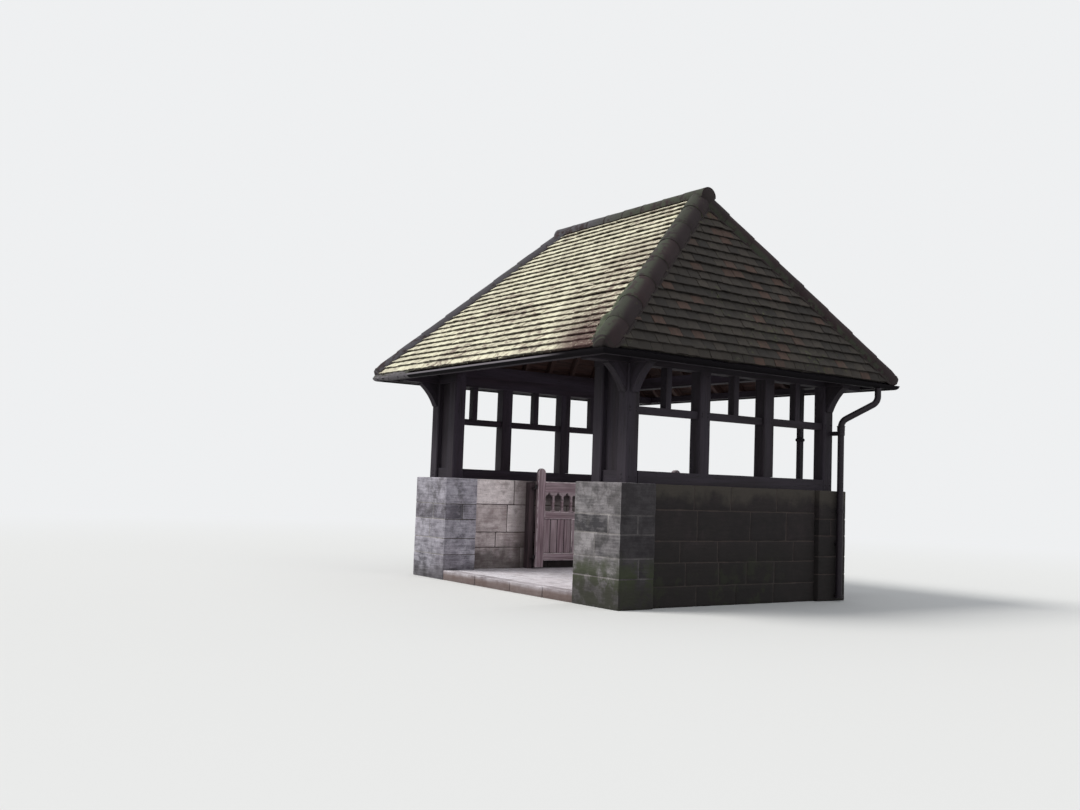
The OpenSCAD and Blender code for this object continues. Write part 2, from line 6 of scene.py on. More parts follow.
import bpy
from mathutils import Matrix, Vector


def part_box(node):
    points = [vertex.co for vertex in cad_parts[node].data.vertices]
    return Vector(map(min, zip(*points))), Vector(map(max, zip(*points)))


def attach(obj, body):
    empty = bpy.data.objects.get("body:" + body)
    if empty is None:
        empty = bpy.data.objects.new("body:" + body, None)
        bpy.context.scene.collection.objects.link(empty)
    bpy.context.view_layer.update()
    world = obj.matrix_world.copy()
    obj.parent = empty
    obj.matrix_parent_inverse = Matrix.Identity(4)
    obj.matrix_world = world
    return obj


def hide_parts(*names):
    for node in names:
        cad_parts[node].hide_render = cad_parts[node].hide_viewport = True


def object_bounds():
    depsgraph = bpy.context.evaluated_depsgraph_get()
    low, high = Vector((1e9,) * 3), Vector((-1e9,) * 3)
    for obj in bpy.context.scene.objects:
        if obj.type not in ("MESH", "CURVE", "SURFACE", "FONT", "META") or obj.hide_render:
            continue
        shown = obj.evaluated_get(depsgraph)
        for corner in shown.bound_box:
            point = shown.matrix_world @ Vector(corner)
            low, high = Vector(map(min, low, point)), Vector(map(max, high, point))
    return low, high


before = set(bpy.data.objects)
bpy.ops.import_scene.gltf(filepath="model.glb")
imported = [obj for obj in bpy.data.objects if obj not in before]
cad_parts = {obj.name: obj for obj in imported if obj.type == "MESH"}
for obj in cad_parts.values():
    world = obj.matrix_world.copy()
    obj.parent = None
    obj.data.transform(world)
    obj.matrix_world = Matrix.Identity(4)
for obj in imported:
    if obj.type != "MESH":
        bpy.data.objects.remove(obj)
CAD_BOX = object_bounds()
CAD_LIMITS = tuple(list(corner) for corner in CAD_BOX)

import logging
import math
from collections.abc import Callable, Iterable, Sequence
from dataclasses import dataclass, field
from enum import Enum

import bmesh
import bpy
import numpy as np
from mathutils import Matrix, Vector

LOG = logging.getLogger("lychgate")

Colour = tuple[float, float, float]
Socket = bpy.types.NodeSocket

WELD = 2e-5
FLAT_ANGLE = 0.01
SHARP_ANGLE = math.radians(28)
HARD_EDGE = 40.0
NOISE_SPREAD = np.array([73856093, 19349663, 83492791])
UP = (0, 0, 1)


class Body(Enum):
    """The bodies that pieces ride on."""

    STRUCTURE = "structure"
    GATE_LEFT = "gate_left"
    GATE_RIGHT = "gate_right"


class Slot(Enum):
    """The record's material slots."""

    STONE = "stone"
    PAVING = "paving"
    FRAME_OAK = "frame_oak"
    ROOF_TILE = "roof_tile"
    COVER_TILE = "cover_tile"
    IRON = "rainwater_iron"
    GATE_OAK = "gate_oak"
    GATE_IRON = "gate_iron"


class Effect(Enum):
    """Shader effects that several finishes share."""

    MOTTLE = "mottle"
    GRAIN = "oak grain"
    GROWTH = "lichen and moss"
    DAMP = "damp foot"
    WEAR = "worn arris"


def paint(red: int, green: int, blue: int) -> Colour:
    """Turns a colour as seen on a screen into the shader's linear one.

    Args:
        red, green, blue: screen values from 0 to 255.

    Returns:
        The linear colour.
    """
    return tuple(
        ((c / 255 + 0.055) / 1.055) ** 2.4 if c > 10 else c / 255 / 12.92 for c in (red, green, blue)
    )


# Geometry helpers


def lattice_noise(points: np.ndarray, size: float, seed: int) -> np.ndarray:
    """Smooth noise that is the same for every run.

    Args:
        points: places, one a row.
        size: distance between the noise's own lattice points.
        seed: picks one of many patterns.

    Returns:
        A value from -1 to 1 for each place.
    """
    scaled = points / size
    cell = np.floor(scaled).astype(np.int64)
    part = scaled - cell
    part = part * part * (3 - 2 * part)
    total = np.zeros(len(points))
    for corner in range(8):
        step = np.array([corner & 1, corner >> 1 & 1, corner >> 2 & 1])
        mixed = np.bitwise_xor.reduce((cell + step) * NOISE_SPREAD, axis=1) ^ (seed * 40503 + 977)
        mixed = ((mixed ^ (mixed >> 13)) & 0x7FFFFFFF) * 1274126177
        value = ((mixed >> 9) & 0xFFFF) / 32767.5 - 1
        total += value * np.prod(np.where(step, part, 1 - part), axis=1)
    return total


def wobble(points: np.ndarray, size: float, depth: float, seed: int) -> np.ndarray:
    """Moves places a little in all directions.

    Args:
        points: places, one a row.
        size: length over which the movement changes.
        depth: the furthest movement along each axis.
        seed: picks the pattern.

    Returns:
        The moved places.
    """
    return points + depth * np.stack([lattice_noise(points, size, seed + i) for i in range(3)], axis=1)


def frame_matrix(origin: Sequence[float], x_axis: Sequence[float], z_axis: Sequence[float]) -> np.ndarray:
    """A 4x4 placement from an origin and two axes.

    Args:
        origin: where the local origin goes.
        x_axis: direction of the local X axis.
        z_axis: rough direction of the local Z axis.

    Returns:
        The placement.
    """
    x = np.array(x_axis, float) / np.linalg.norm(x_axis)
    y = np.cross(np.array(z_axis, float), x)
    y /= np.linalg.norm(y)
    made = np.eye(4)
    made[:3, 0], made[:3, 1], made[:3, 2], made[:3, 3] = x, y, np.cross(x, y), origin
    return made


def placed(points: np.ndarray, matrix: np.ndarray) -> np.ndarray:
    """Puts local places into the row frame."""
    return points @ matrix[:3, :3].T + matrix[:3, 3]


def circle(radius: float, angle: np.ndarray) -> np.ndarray:
    """Sideways and upward places on a circle, one for each angle."""
    return np.stack([radius * np.cos(angle), radius * np.sin(angle)], axis=1)


def ring_at(x: float, outline: np.ndarray) -> np.ndarray:
    """Stands an outline of sideways and upward places across the local X axis."""
    return np.concatenate([np.full((len(outline), 1), x), outline], axis=1)


def linked(name: str, data: bpy.types.ID) -> bpy.types.Object:
    """Makes an object and links it into the scene."""
    made = bpy.data.objects.new(name, data)
    bpy.context.scene.collection.objects.link(made)
    return made


def welded(node: str) -> bmesh.types.BMesh:
    """The mesh of a CAD node, with its corners joined."""
    bm = bmesh.new()
    bm.from_mesh(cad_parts[node].data)
    bmesh.ops.remove_doubles(bm, verts=bm.verts, dist=WELD)
    return bm


class Mesh:
    """Collects faces and their finish values, and makes one object of them."""

    def __init__(self) -> None:
        """Starts empty."""
        self.points: list[np.ndarray] = []
        self.grain: list[np.ndarray] = []
        self.faces: list[tuple[int, ...]] = []
        self.tone: list[float] = []
        self.edge: list[float] = []
        self.count = 0

    def add(
        self, points: np.ndarray, faces: Iterable[Sequence[int]], tone: float, edge: Iterable[float] | float = 0.0,
        grain: np.ndarray | None = None,
    ) -> None:
        """Adds one solid.

        Args:
            points: its places in the row frame.
            faces: its faces, as indices of those places.
            tone: the solid's own shade, from 0 to 1.
            edge: 1 for each face on an arris, or one value for all.
            grain: coordinates along and across the grain, if it has one.
        """
        faces = [tuple(int(i) + self.count for i in face) for face in faces]
        self.points.append(points)
        self.grain.append(points if grain is None else grain)
        self.faces.extend(faces)
        self.tone.extend([tone] * len(faces))
        self.edge.extend([edge] * len(faces) if isinstance(edge, float) else list(edge))
        self.count += len(points)

    def block(
        self, low: Sequence[float], high: Sequence[float], *, radius: float, cells: Sequence[int], tone: float,
        rough: float = 0.0, size: float = 0.1, seed: int = 0, along: int = 0, matrix: np.ndarray | None = None,
        shape: Callable[[np.ndarray], np.ndarray] | None = None, rim: float = 1.0,
    ) -> None:
        """Adds a block with rounded, slightly worn arrises.

        Args:
            low, high: its corners.
            radius: roundness of its arrises.
            cells: cells along each side between the arrises.
            tone: its shade.
            rough: depth of its unevenness.
            size: length over which the unevenness changes.
            seed: picks the unevenness.
            along: the axis that the grain follows.
            matrix: placement of the local axes, if they aren't the row frame's.
            shape: a last change of its local places, before the placement.
            rim: edge value of its arrises, drawn pale as worn arrises and, on the gate, as painted highlight, or as
                dirt in them if it is below 0.
        """
        low, high = np.array(low, float), np.array(high, float)
        lines = [
            np.concatenate([[low[a]], np.linspace(low[a] + radius, high[a] - radius, cells[a] + 1), [high[a]]])
            for a in range(3)
        ]
        number = [len(line) for line in lines]
        ids = -np.ones(number, int)
        grid = np.indices(number).reshape(3, -1).T
        outer = np.any((grid == 0) | (grid == np.array(number) - 1), axis=1)
        grid = grid[outer]
        ids[tuple(grid.T)] = np.arange(len(grid))
        points = np.stack([lines[a][grid[:, a]] for a in range(3)], axis=1)
        inner = np.clip(points, low + radius, high - radius)
        away = points - inner
        points = inner + away * (radius / np.linalg.norm(away, axis=1))[:, None]
        faces, edge = [], []
        for axis in range(3):
            first, second = [a for a in range(3) if a != axis]
            i, j = np.meshgrid(range(number[first] - 1), range(number[second] - 1), indexing="ij")
            i, j = i.ravel(), j.ravel()
            for end in (0, number[axis] - 1):
                at = [[None] * 3 for _ in range(4)]
                for k, (di, dj) in enumerate(((0, 0), (1, 0), (1, 1), (0, 1))):
                    at[k][axis], at[k][first], at[k][second] = np.full_like(i, end), i + di, j + dj
                quads = np.stack([ids[tuple(c)] for c in at], axis=1)
                if (end == 0) == (axis != 1):
                    quads = quads[:, ::-1]
                faces.extend(quads)
                arris = (i == 0) | (i == number[first] - 2) | (j == 0) | (j == number[second] - 2)
                edge.extend(arris * rim)
        grain = np.roll(points, -along, axis=1) + np.array([seed * 1.37 % 17, seed * 0.71 % 13, seed * 0.33 % 11])
        if shape is not None:
            points = shape(points)
        if matrix is not None:
            points = placed(points, matrix)
        if rough:
            points = wobble(points, size, rough, seed * 7 + 3)
        self.add(points, faces, tone, edge, grain)

    def sweep(
        self, rings: Sequence[np.ndarray], *, tone: float, closed: bool = True, capped: bool = True,
        edge: object = 0.0, along: int = 0,
    ) -> None:
        """Adds a skin over a row of rings of places.

        Args:
            rings: the rings, each with as many places.
            tone: its shade.
            closed: whether each ring closes on itself.
            capped: whether the first and last rings are filled.
            edge: edge values, one value or a table by rings and places; finishes draw them pale as worn arrises and
                painted highlights, and on tiles dark as painted shade with some dirt.
            along: the axis that the grain follows.
        """
        size, length = len(rings[0]), len(rings)
        table = np.broadcast_to(np.array(edge, float), (length - 1, size))
        faces = [
            (a * size + k, a * size + (k + 1) % size, (a + 1) * size + (k + 1) % size, (a + 1) * size + k)
            for a in range(length - 1) for k in range(size if closed else size - 1)
        ]
        worn = [table[a, k] for a in range(length - 1) for k in range(size if closed else size - 1)]
        if capped:
            faces += [tuple(range(size))[::-1], tuple(range((length - 1) * size, length * size))]
            worn += [0.0, 0.0]
        points = np.concatenate(rings)
        self.add(points, faces, tone, worn, np.roll(points, -along, axis=1) + 7.3 * tone)

    def turned(
        self, profile: Sequence[tuple[float, float]], matrix: np.ndarray, *, tone: float, sides: int
    ) -> None:
        """Adds a turned solid about the local Z axis.

        Args:
            profile: radius and height of each ring, from one end to the other.
            matrix: its placement.
            tone: its shade.
            sides: faces round it.
        """
        angle = np.arange(sides) * 2 * math.pi / sides
        rings = [
            placed(np.stack([r * np.cos(angle), r * np.sin(angle), np.full(sides, z)], axis=1), matrix)
            for r, z in profile
        ]
        self.sweep(rings, tone=tone)

    def carve(self, node: str, *, width: float, cell: float, rough: float, seed: int) -> None:
        """Adds the solids of a CAD node with worn arrises and a slightly uneven surface.

        Args:
            node: the node's name.
            width: width of the worn arrises.
            cell: length of the pieces that a long solid is cut into.
            rough: depth of the unevenness.
            seed: picks tones and unevenness.
        """
        bm = welded(node)
        bmesh.ops.dissolve_limit(bm, angle_limit=FLAT_ANGLE, verts=bm.verts, edges=bm.edges)
        for number, island in enumerate(islands(bm)):
            part = bmesh.new()
            known = {v: part.verts.new(v.co) for v in island}
            for face in dict.fromkeys(f for v in island for f in v.link_faces):
                part.faces.new([known[v] for v in face.verts])
            self._finish_solid(part, width, cell, rough, seed * 31 + number)
            part.free()
        bm.free()

    def _finish_solid(self, bm: bmesh.types.BMesh, width: float, cell: float, rough: float, seed: int) -> None:
        """Wears, cuts and stores one solid of a CAD node.

        Args:
            bm: the solid.
            width: width of its worn arrises.
            cell: length of the pieces that it is cut into.
            rough: depth of its unevenness.
            seed: picks its tone and unevenness.
        """
        worn = bm.faces.layers.float.new("edge")
        sharp = [e for e in bm.edges if e.is_manifold and e.calc_face_angle(0) > SHARP_ANGLE]
        made = bmesh.ops.bevel(
            bm, geom=sharp, offset=width, offset_type="OFFSET", segments=2, profile=0.5, affect="EDGES",
            clamp_overlap=True,
        )
        for face in made["faces"]:
            face[worn] = 1.0
        places = np.array([v.co for v in bm.verts])
        centre = places.mean(0)
        _, _, axes = np.linalg.svd(places - centre, full_matrices=False)
        axes[np.arange(3), :] *= np.sign(axes[np.arange(3), np.abs(axes).argmax(1)])[:, None]
        reach = (places - centre) @ axes[0]
        for k in range(1, int((reach.max() - reach.min()) / cell)):
            at = centre + axes[0] * (reach.min() + k * cell)
            geometry = [*bm.verts, *bm.edges, *bm.faces]
            bmesh.ops.bisect_plane(bm, geom=geometry, dist=1e-5, plane_co=Vector(at), plane_no=Vector(axes[0]))
        bm.verts.index_update()
        places = np.array([v.co for v in bm.verts])
        rng = np.random.default_rng(seed)
        grain = (places - centre) @ axes.T + rng.uniform(0, 20, 3)
        faces = [[v.index for v in f.verts] for f in bm.faces]
        self.add(wobble(places, 0.35, rough, seed), faces, float(rng.uniform()), [f[worn] for f in bm.faces], grain)

    def make(self, name: str, *, angle: float = HARD_EDGE) -> bpy.types.Object:
        """Makes the object.

        Args:
            name: its name.
            angle: edges sharper than this many degrees stay hard.

        Returns:
            The new object.
        """
        mesh = bpy.data.meshes.new(name)
        mesh.from_pydata(np.clip(np.concatenate(self.points), *CAD_LIMITS), [], self.faces)
        for key, values in (("tone", self.tone), ("edge", self.edge)):
            mesh.attributes.new(key, "FLOAT", "FACE").data.foreach_set("value", np.array(values, np.float32))
        grain = np.concatenate(self.grain).astype(np.float32)
        mesh.attributes.new("grain", "FLOAT_VECTOR", "POINT").data.foreach_set("vector", grain.ravel())
        mesh.shade_smooth()
        mesh.set_sharp_from_angle(angle=math.radians(angle))
        return linked(name, mesh)


def islands(bm: bmesh.types.BMesh) -> list[list[bmesh.types.BMVert]]:
    """Finds the separate solids of a mesh.

    Args:
        bm: the mesh.

    Returns:
        The corners of each solid.
    """
    left, found = set(bm.verts), []
    for start in list(bm.verts):
        if start not in left:
            continue
        left.discard(start)
        todo, island = [start], []
        while todo:
            v = todo.pop()
            island.append(v)
            for e in v.link_edges:
                other = e.other_vert(v)
                if other in left:
                    left.discard(other)
                    todo.append(other)
        found.append(island)
    return found


def solid_boxes(node: str) -> list[tuple[np.ndarray, np.ndarray]]:
    """The box of each solid of a CAD node.

    Args:
        node: the node's name.

    Returns:
        Lowest and highest corner of each, sorted by place.
    """
    bm = welded(node)
    boxes = []
    for island in islands(bm):
        places = np.array([v.co for v in island])
        boxes.append((places.min(0), places.max(0)))
    bm.free()
    return sorted(boxes, key=lambda b: tuple(b[0]))


def node_box(node: str) -> tuple[np.ndarray, np.ndarray]:
    """Lowest and highest corner of a CAD node."""
    low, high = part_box(node)
    return np.array(low), np.array(high)


def place(
    mesh: Mesh, name: str, slot: Slot, finish: bpy.types.Material, *nodes: str, body: Body = Body.STRUCTURE,
    angle: float = HARD_EDGE,
) -> None:
    """Makes a piece, dresses it and hangs it on its body.

    Args:
        mesh: its faces.
        name: its name.
        slot: the material slot of the piece; not used.
        finish: its material.
        nodes: the CAD nodes that it stands for.
        body: the body that it rides on.
        angle: edges sharper than this many degrees stay hard.
    """
    made = mesh.make(name, angle=angle)
    made.data.materials.append(finish)
    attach(made, body.value)
    if nodes:
        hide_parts(*nodes)
    LOG.info("%s: %d faces on %s, for %s", name, len(mesh.faces), body.value, ", ".join(nodes) or "nothing")


def dress(finish: bpy.types.Material, *nodes: str) -> None:
    """Gives CAD nodes that stay in view a finish.

    Args:
        finish: the material.
        nodes: their names.
    """
    for node in nodes:
        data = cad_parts[node].data
        data.materials.clear()
        data.materials.append(finish)
        LOG.info("%s keeps its own shape", node)


# Finishes


class Graph:
    """Places and links shader nodes in one tree."""

    def __init__(self, tree: bpy.types.NodeTree) -> None:
        """Works on one tree.

        Args:
            tree: the tree of a material or of a group.
        """
        self.tree = tree

    def node(self, kind: str, settings: dict[str, object] | None = None, **values: object) -> bpy.types.Node:
        """Adds a node.

        Args:
            kind: its type.
            settings: its own options.
            values: values or sockets for its inputs, with _ for a space.

        Returns:
            The node.
        """
        made = self.tree.nodes.new(kind)
        for key, value in (settings or {}).items():
            setattr(made, key, value)
        for key, value in values.items():
            self.feed(made.inputs[key.replace("_", " ")], value)
        return made

    def feed(self, socket: Socket, value: object) -> None:
        """Links a socket into another, or sets a value on it."""
        if isinstance(value, bpy.types.NodeSocket):
            self.tree.links.new(value, socket)
        elif isinstance(value, tuple) and socket.type == "RGBA":
            socket.default_value = (*value, 1.0)
        else:
            socket.default_value = value

    def math(self, operation: str, first: object, second: object = 0.0, *, clamp: bool = False) -> Socket:
        """Works out one value from two others.

        Args:
            operation: what is done with them.
            first, second: values or sockets.
            clamp: whether the result stays from 0 to 1.

        Returns:
            The result.
        """
        made = self.node("ShaderNodeMath", {"operation": operation, "use_clamp": clamp})
        self.feed(made.inputs[0], first)
        self.feed(made.inputs[1], second)
        return made.outputs[0]

    def times(self, first: object, second: object, *, clamp: bool = False) -> Socket:
        """The product of two values."""
        return self.math("MULTIPLY", first, second, clamp=clamp)

    def plus(self, first: object, second: object, *, clamp: bool = False) -> Socket:
        """The sum of two values."""
        return self.math("ADD", first, second, clamp=clamp)

    def minus(self, first: object, second: object, *, clamp: bool = False) -> Socket:
        """The first value less the second."""
        return self.math("SUBTRACT", first, second, clamp=clamp)

    def mix(self, factor: object, first: object, second: object) -> Socket:
        """Mixes two colours.

        Args:
            factor: share of the second.
            first, second: colours or sockets.

        Returns:
            The mixed colour.
        """
        made = self.node("ShaderNodeMix", {"data_type": "RGBA"})
        for index, value in ((0, factor), (6, first), (7, second)):
            self.feed(made.inputs[index], value)
        return made.outputs[2]

    def coat(self, base: object, over: object, mask: Socket, share: object) -> Socket:
        """Lays one colour over another.

        Args:
            base, over: colours or sockets.
            mask: where the second colour shows.
            share: how strongly it shows there.

        Returns:
            The resulting colour.
        """
        return self.mix(self.times(mask, share), base, over)

    def step(self, value: Socket, low: object, high: object) -> Socket:
        """Turns a range of values smoothly into 0 to 1.

        Args:
            value: the value.
            low, high: where the result is 0 and 1.

        Returns:
            The result.
        """
        made = self.node("ShaderNodeMapRange", {"interpolation_type": "SMOOTHSTEP"}, Value=value)
        self.feed(made.inputs["From Min"], low)
        self.feed(made.inputs["From Max"], high)
        return made.outputs["Result"]

    def noise(self, vector: Socket, scale: object, detail: float = 4.0, roughness: float = 0.55) -> Socket:
        """Adds noise about 0.5.

        Args:
            vector: where it is looked up.
            scale: lumps a metre.
            detail: finer layers.
            roughness: strength of the finer layers.

        Returns:
            Its value.
        """
        return self.node(
            "ShaderNodeTexNoise", Vector=vector, Scale=scale, Detail=detail, Roughness=roughness
        ).outputs["Fac"]

    def stretched(self, vector: Socket, by: Colour) -> Socket:
        """Multiplies a vector by three factors."""
        made = self.node("ShaderNodeVectorMath", {"operation": "MULTIPLY"})
        self.feed(made.inputs[0], vector)
        made.inputs[1].default_value = by
        return made.outputs[0]

    def split(self, vector: Socket) -> Sequence[Socket]:
        """The X, Y and Z of a vector."""
        return self.node("ShaderNodeSeparateXYZ", Vector=vector).outputs

    def coordinates(self, kind: str = "Object") -> Socket:
        """Where a point of the surface lies, or which way it faces."""
        return self.node("ShaderNodeTexCoord").outputs[kind]

    def value_of(self, attribute: str) -> Socket:
        """A finish value stored on the faces."""
        return self.node("ShaderNodeAttribute", {"attribute_name": attribute}).outputs["Fac"]

    def effect(self, effect: Effect, **values: object) -> Sequence[Socket]:
        """Places a shared effect.

        Args:
            effect: which one.
            values: values or sockets for its inputs.

        Returns:
            Its outputs.
        """
        made = self.tree.nodes.new("ShaderNodeGroup")
        made.node_tree = shared_effect(effect)
        for key, value in values.items():
            self.feed(made.inputs[key], value)
        return made.outputs

    def growth(self, at: Socket, amount: float, scale: float) -> Socket:
        """Patches of growth or dirt.

        Args:
            at: where they are looked up.
            amount: how much they cover, from 0 to 1.
            scale: lumps a metre.

        Returns:
            Their mask.
        """
        return self.effect(Effect.GROWTH, Vector=at, Amount=amount, Scale=scale)["Mask"]

    def show(self, output: str, factor: Socket, first: bpy.types.Node, second: bpy.types.Node) -> None:
        """Mixes two shaders into an output.

        Args:
            output: the output node's type.
            factor: share of the second.
            first, second: the shader nodes.
        """
        both = self.node("ShaderNodeMixShader", Fac=factor)
        self.feed(both.inputs[1], first.outputs[0])
        self.feed(both.inputs[2], second.outputs[0])
        self.feed(self.node(output).inputs["Surface"], both.outputs[0])


def wire_mottle(g: Graph, take: bpy.types.Node, give: bpy.types.Node) -> None:
    """Broad stains, fine speckle and a matching height."""
    vector, scale = take.outputs["Vector"], take.outputs["Scale"]
    broad = g.noise(vector, g.times(scale, 1.7), 3)
    middle = g.noise(vector, g.times(scale, 9.0), 5, 0.6)
    fine = g.noise(vector, g.times(scale, 70.0), 3, 0.7)
    g.feed(give.inputs["Broad"], g.step(broad, 0.36, 0.64))
    g.feed(give.inputs["Middle"], g.step(middle, 0.34, 0.68))
    g.feed(give.inputs["Fine"], g.step(fine, 0.3, 0.7))
    g.feed(give.inputs["Height"], g.plus(middle, g.times(fine, 0.45)))


def wire_grain(g: Graph, take: bpy.types.Node, give: bpy.types.Node) -> None:
    """Streaks along the timber, drying cracks and a matching height."""
    vector = take.outputs["Vector"]
    figure = g.noise(g.stretched(vector, (2.2, 42.0, 42.0)), 1.0, 6, 0.62)
    broad = g.noise(g.stretched(vector, (0.7, 7.0, 7.0)), 1.0, 3)
    crack = g.noise(g.stretched(vector, (1.1, 30.0, 30.0)), 1.0, 2, 0.4)
    cracks = g.step(g.math("ABSOLUTE", g.minus(crack, 0.5)), 0.016, 0.0)
    cracks = g.times(cracks, g.step(broad, 0.46, 0.6))
    g.feed(give.inputs["Figure"], g.step(figure, 0.3, 0.7))
    g.feed(give.inputs["Broad"], g.step(broad, 0.35, 0.65))
    g.feed(give.inputs["Cracks"], cracks)
    g.feed(give.inputs["Height"], g.minus(figure, g.times(cracks, 0.8)))


def wire_growth(g: Graph, take: bpy.types.Node, give: bpy.types.Node) -> None:
    """Patches of lichen or moss with ragged rims."""
    vector, amount = take.outputs["Vector"], take.outputs["Amount"]
    patch = g.noise(vector, take.outputs["Scale"], 6, 0.68)
    drift = g.noise(vector, 0.8, 2)
    level = g.minus(0.78, g.times(amount, 0.5))
    value = g.plus(patch, g.times(g.minus(drift, 0.5), 0.5))
    g.feed(give.inputs["Mask"], g.step(value, level, g.plus(level, 0.12)))


def wire_damp(g: Graph, take: bpy.types.Node, give: bpy.types.Node) -> None:
    """Rising damp that fades out at a ragged line."""
    vector = take.outputs["Vector"]
    height = g.split(vector)[2]
    ragged = g.times(g.minus(g.noise(vector, 3.0, 4), 0.5), take.outputs["Ragged"])
    level = g.plus(height, ragged)
    foot = g.minus(take.outputs["Top"], take.outputs["Fade"])
    g.feed(give.inputs["Mask"], g.step(level, take.outputs["Top"], foot))


def wire_wear(g: Graph, take: bpy.types.Node, give: bpy.types.Node) -> None:
    """Rubbed arrises, broken up along their length; on the gate oak the same mask also carries painted highlights.
    """
    broken = g.step(g.noise(take.outputs["Vector"], 14.0, 4), 0.35, 0.6)
    amount = g.times(broken, take.outputs["Amount"])
    g.feed(give.inputs["Mask"], g.times(g.value_of("edge"), amount, clamp=True))


Wiring = Callable[[Graph, bpy.types.Node, bpy.types.Node], None]
EFFECTS: dict[Effect, tuple[Wiring, dict[str, float], tuple[str, ...]]] = {
    Effect.MOTTLE: (wire_mottle, {"Scale": 1.0}, ("Broad", "Middle", "Fine", "Height")),
    Effect.GRAIN: (wire_grain, {}, ("Figure", "Broad", "Cracks", "Height")),
    Effect.GROWTH: (wire_growth, {"Amount": 0.5, "Scale": 14.0}, ("Mask",)),
    Effect.DAMP: (wire_damp, {"Top": 0.5, "Ragged": 0.3, "Fade": 0.3}, ("Mask",)),
    Effect.WEAR: (wire_wear, {"Amount": 0.5}, ("Mask",)),
}


def shared_effect(effect: Effect) -> bpy.types.NodeTree:
    """The node group of an effect, made the first time that it is asked for.

    Args:
        effect: which one.

    Returns:
        Its group.
    """
    known = bpy.data.node_groups.get(effect.value)
    if known is not None:
        return known
    wire, inputs, outputs = EFFECTS[effect]
    tree = bpy.data.node_groups.new(effect.value, "ShaderNodeTree")
    tree.interface.new_socket(name="Vector", in_out="INPUT", socket_type="NodeSocketVector")
    for name, value in inputs.items():
        tree.interface.new_socket(name=name, in_out="INPUT", socket_type="NodeSocketFloat").default_value = value
    for name in outputs:
        tree.interface.new_socket(name=name, in_out="OUTPUT", socket_type="NodeSocketFloat")
    wire(Graph(tree), tree.nodes.new("NodeGroupInput"), tree.nodes.new("NodeGroupOutput"))
    return tree


def cleared(owner: bpy.types.Material | bpy.types.World) -> Graph:
    """Empties the node tree of a material or world, ready for its own nodes."""
    owner.use_nodes = True
    owner.node_tree.nodes.clear()
    return Graph(owner.node_tree)


def begin(name: str, roughness: float, metallic: float = 0.0) -> tuple[bpy.types.Material, Graph, bpy.types.Node]:
    """Starts a material.

    Args:
        name: its name.
        roughness: the shader's plain roughness.
        metallic: the shader's plain metallic value.

    Returns:
        The material, its graph and its shader node.
    """
    material = bpy.data.materials.new(name)
    graph = cleared(material)
    shader = graph.node("ShaderNodeBsdfPrincipled", Roughness=roughness, Metallic=metallic)
    output = graph.node("ShaderNodeOutputMaterial")
    graph.feed(output.inputs["Surface"], shader.outputs[0])
    return material, graph, shader


def bump(g: Graph, shader: bpy.types.Node, height: Socket, strength: float, distance: float) -> None:
    """Feeds a height into a shader's normal.

    Args:
        g: the graph.
        shader: the shader node.
        height: the height.
        strength: how strong it shows.
        distance: its depth in metres.
    """
    made = g.node("ShaderNodeBump", Height=height, Strength=strength, Distance=distance)
    g.feed(shader.inputs["Normal"], made.outputs[0])


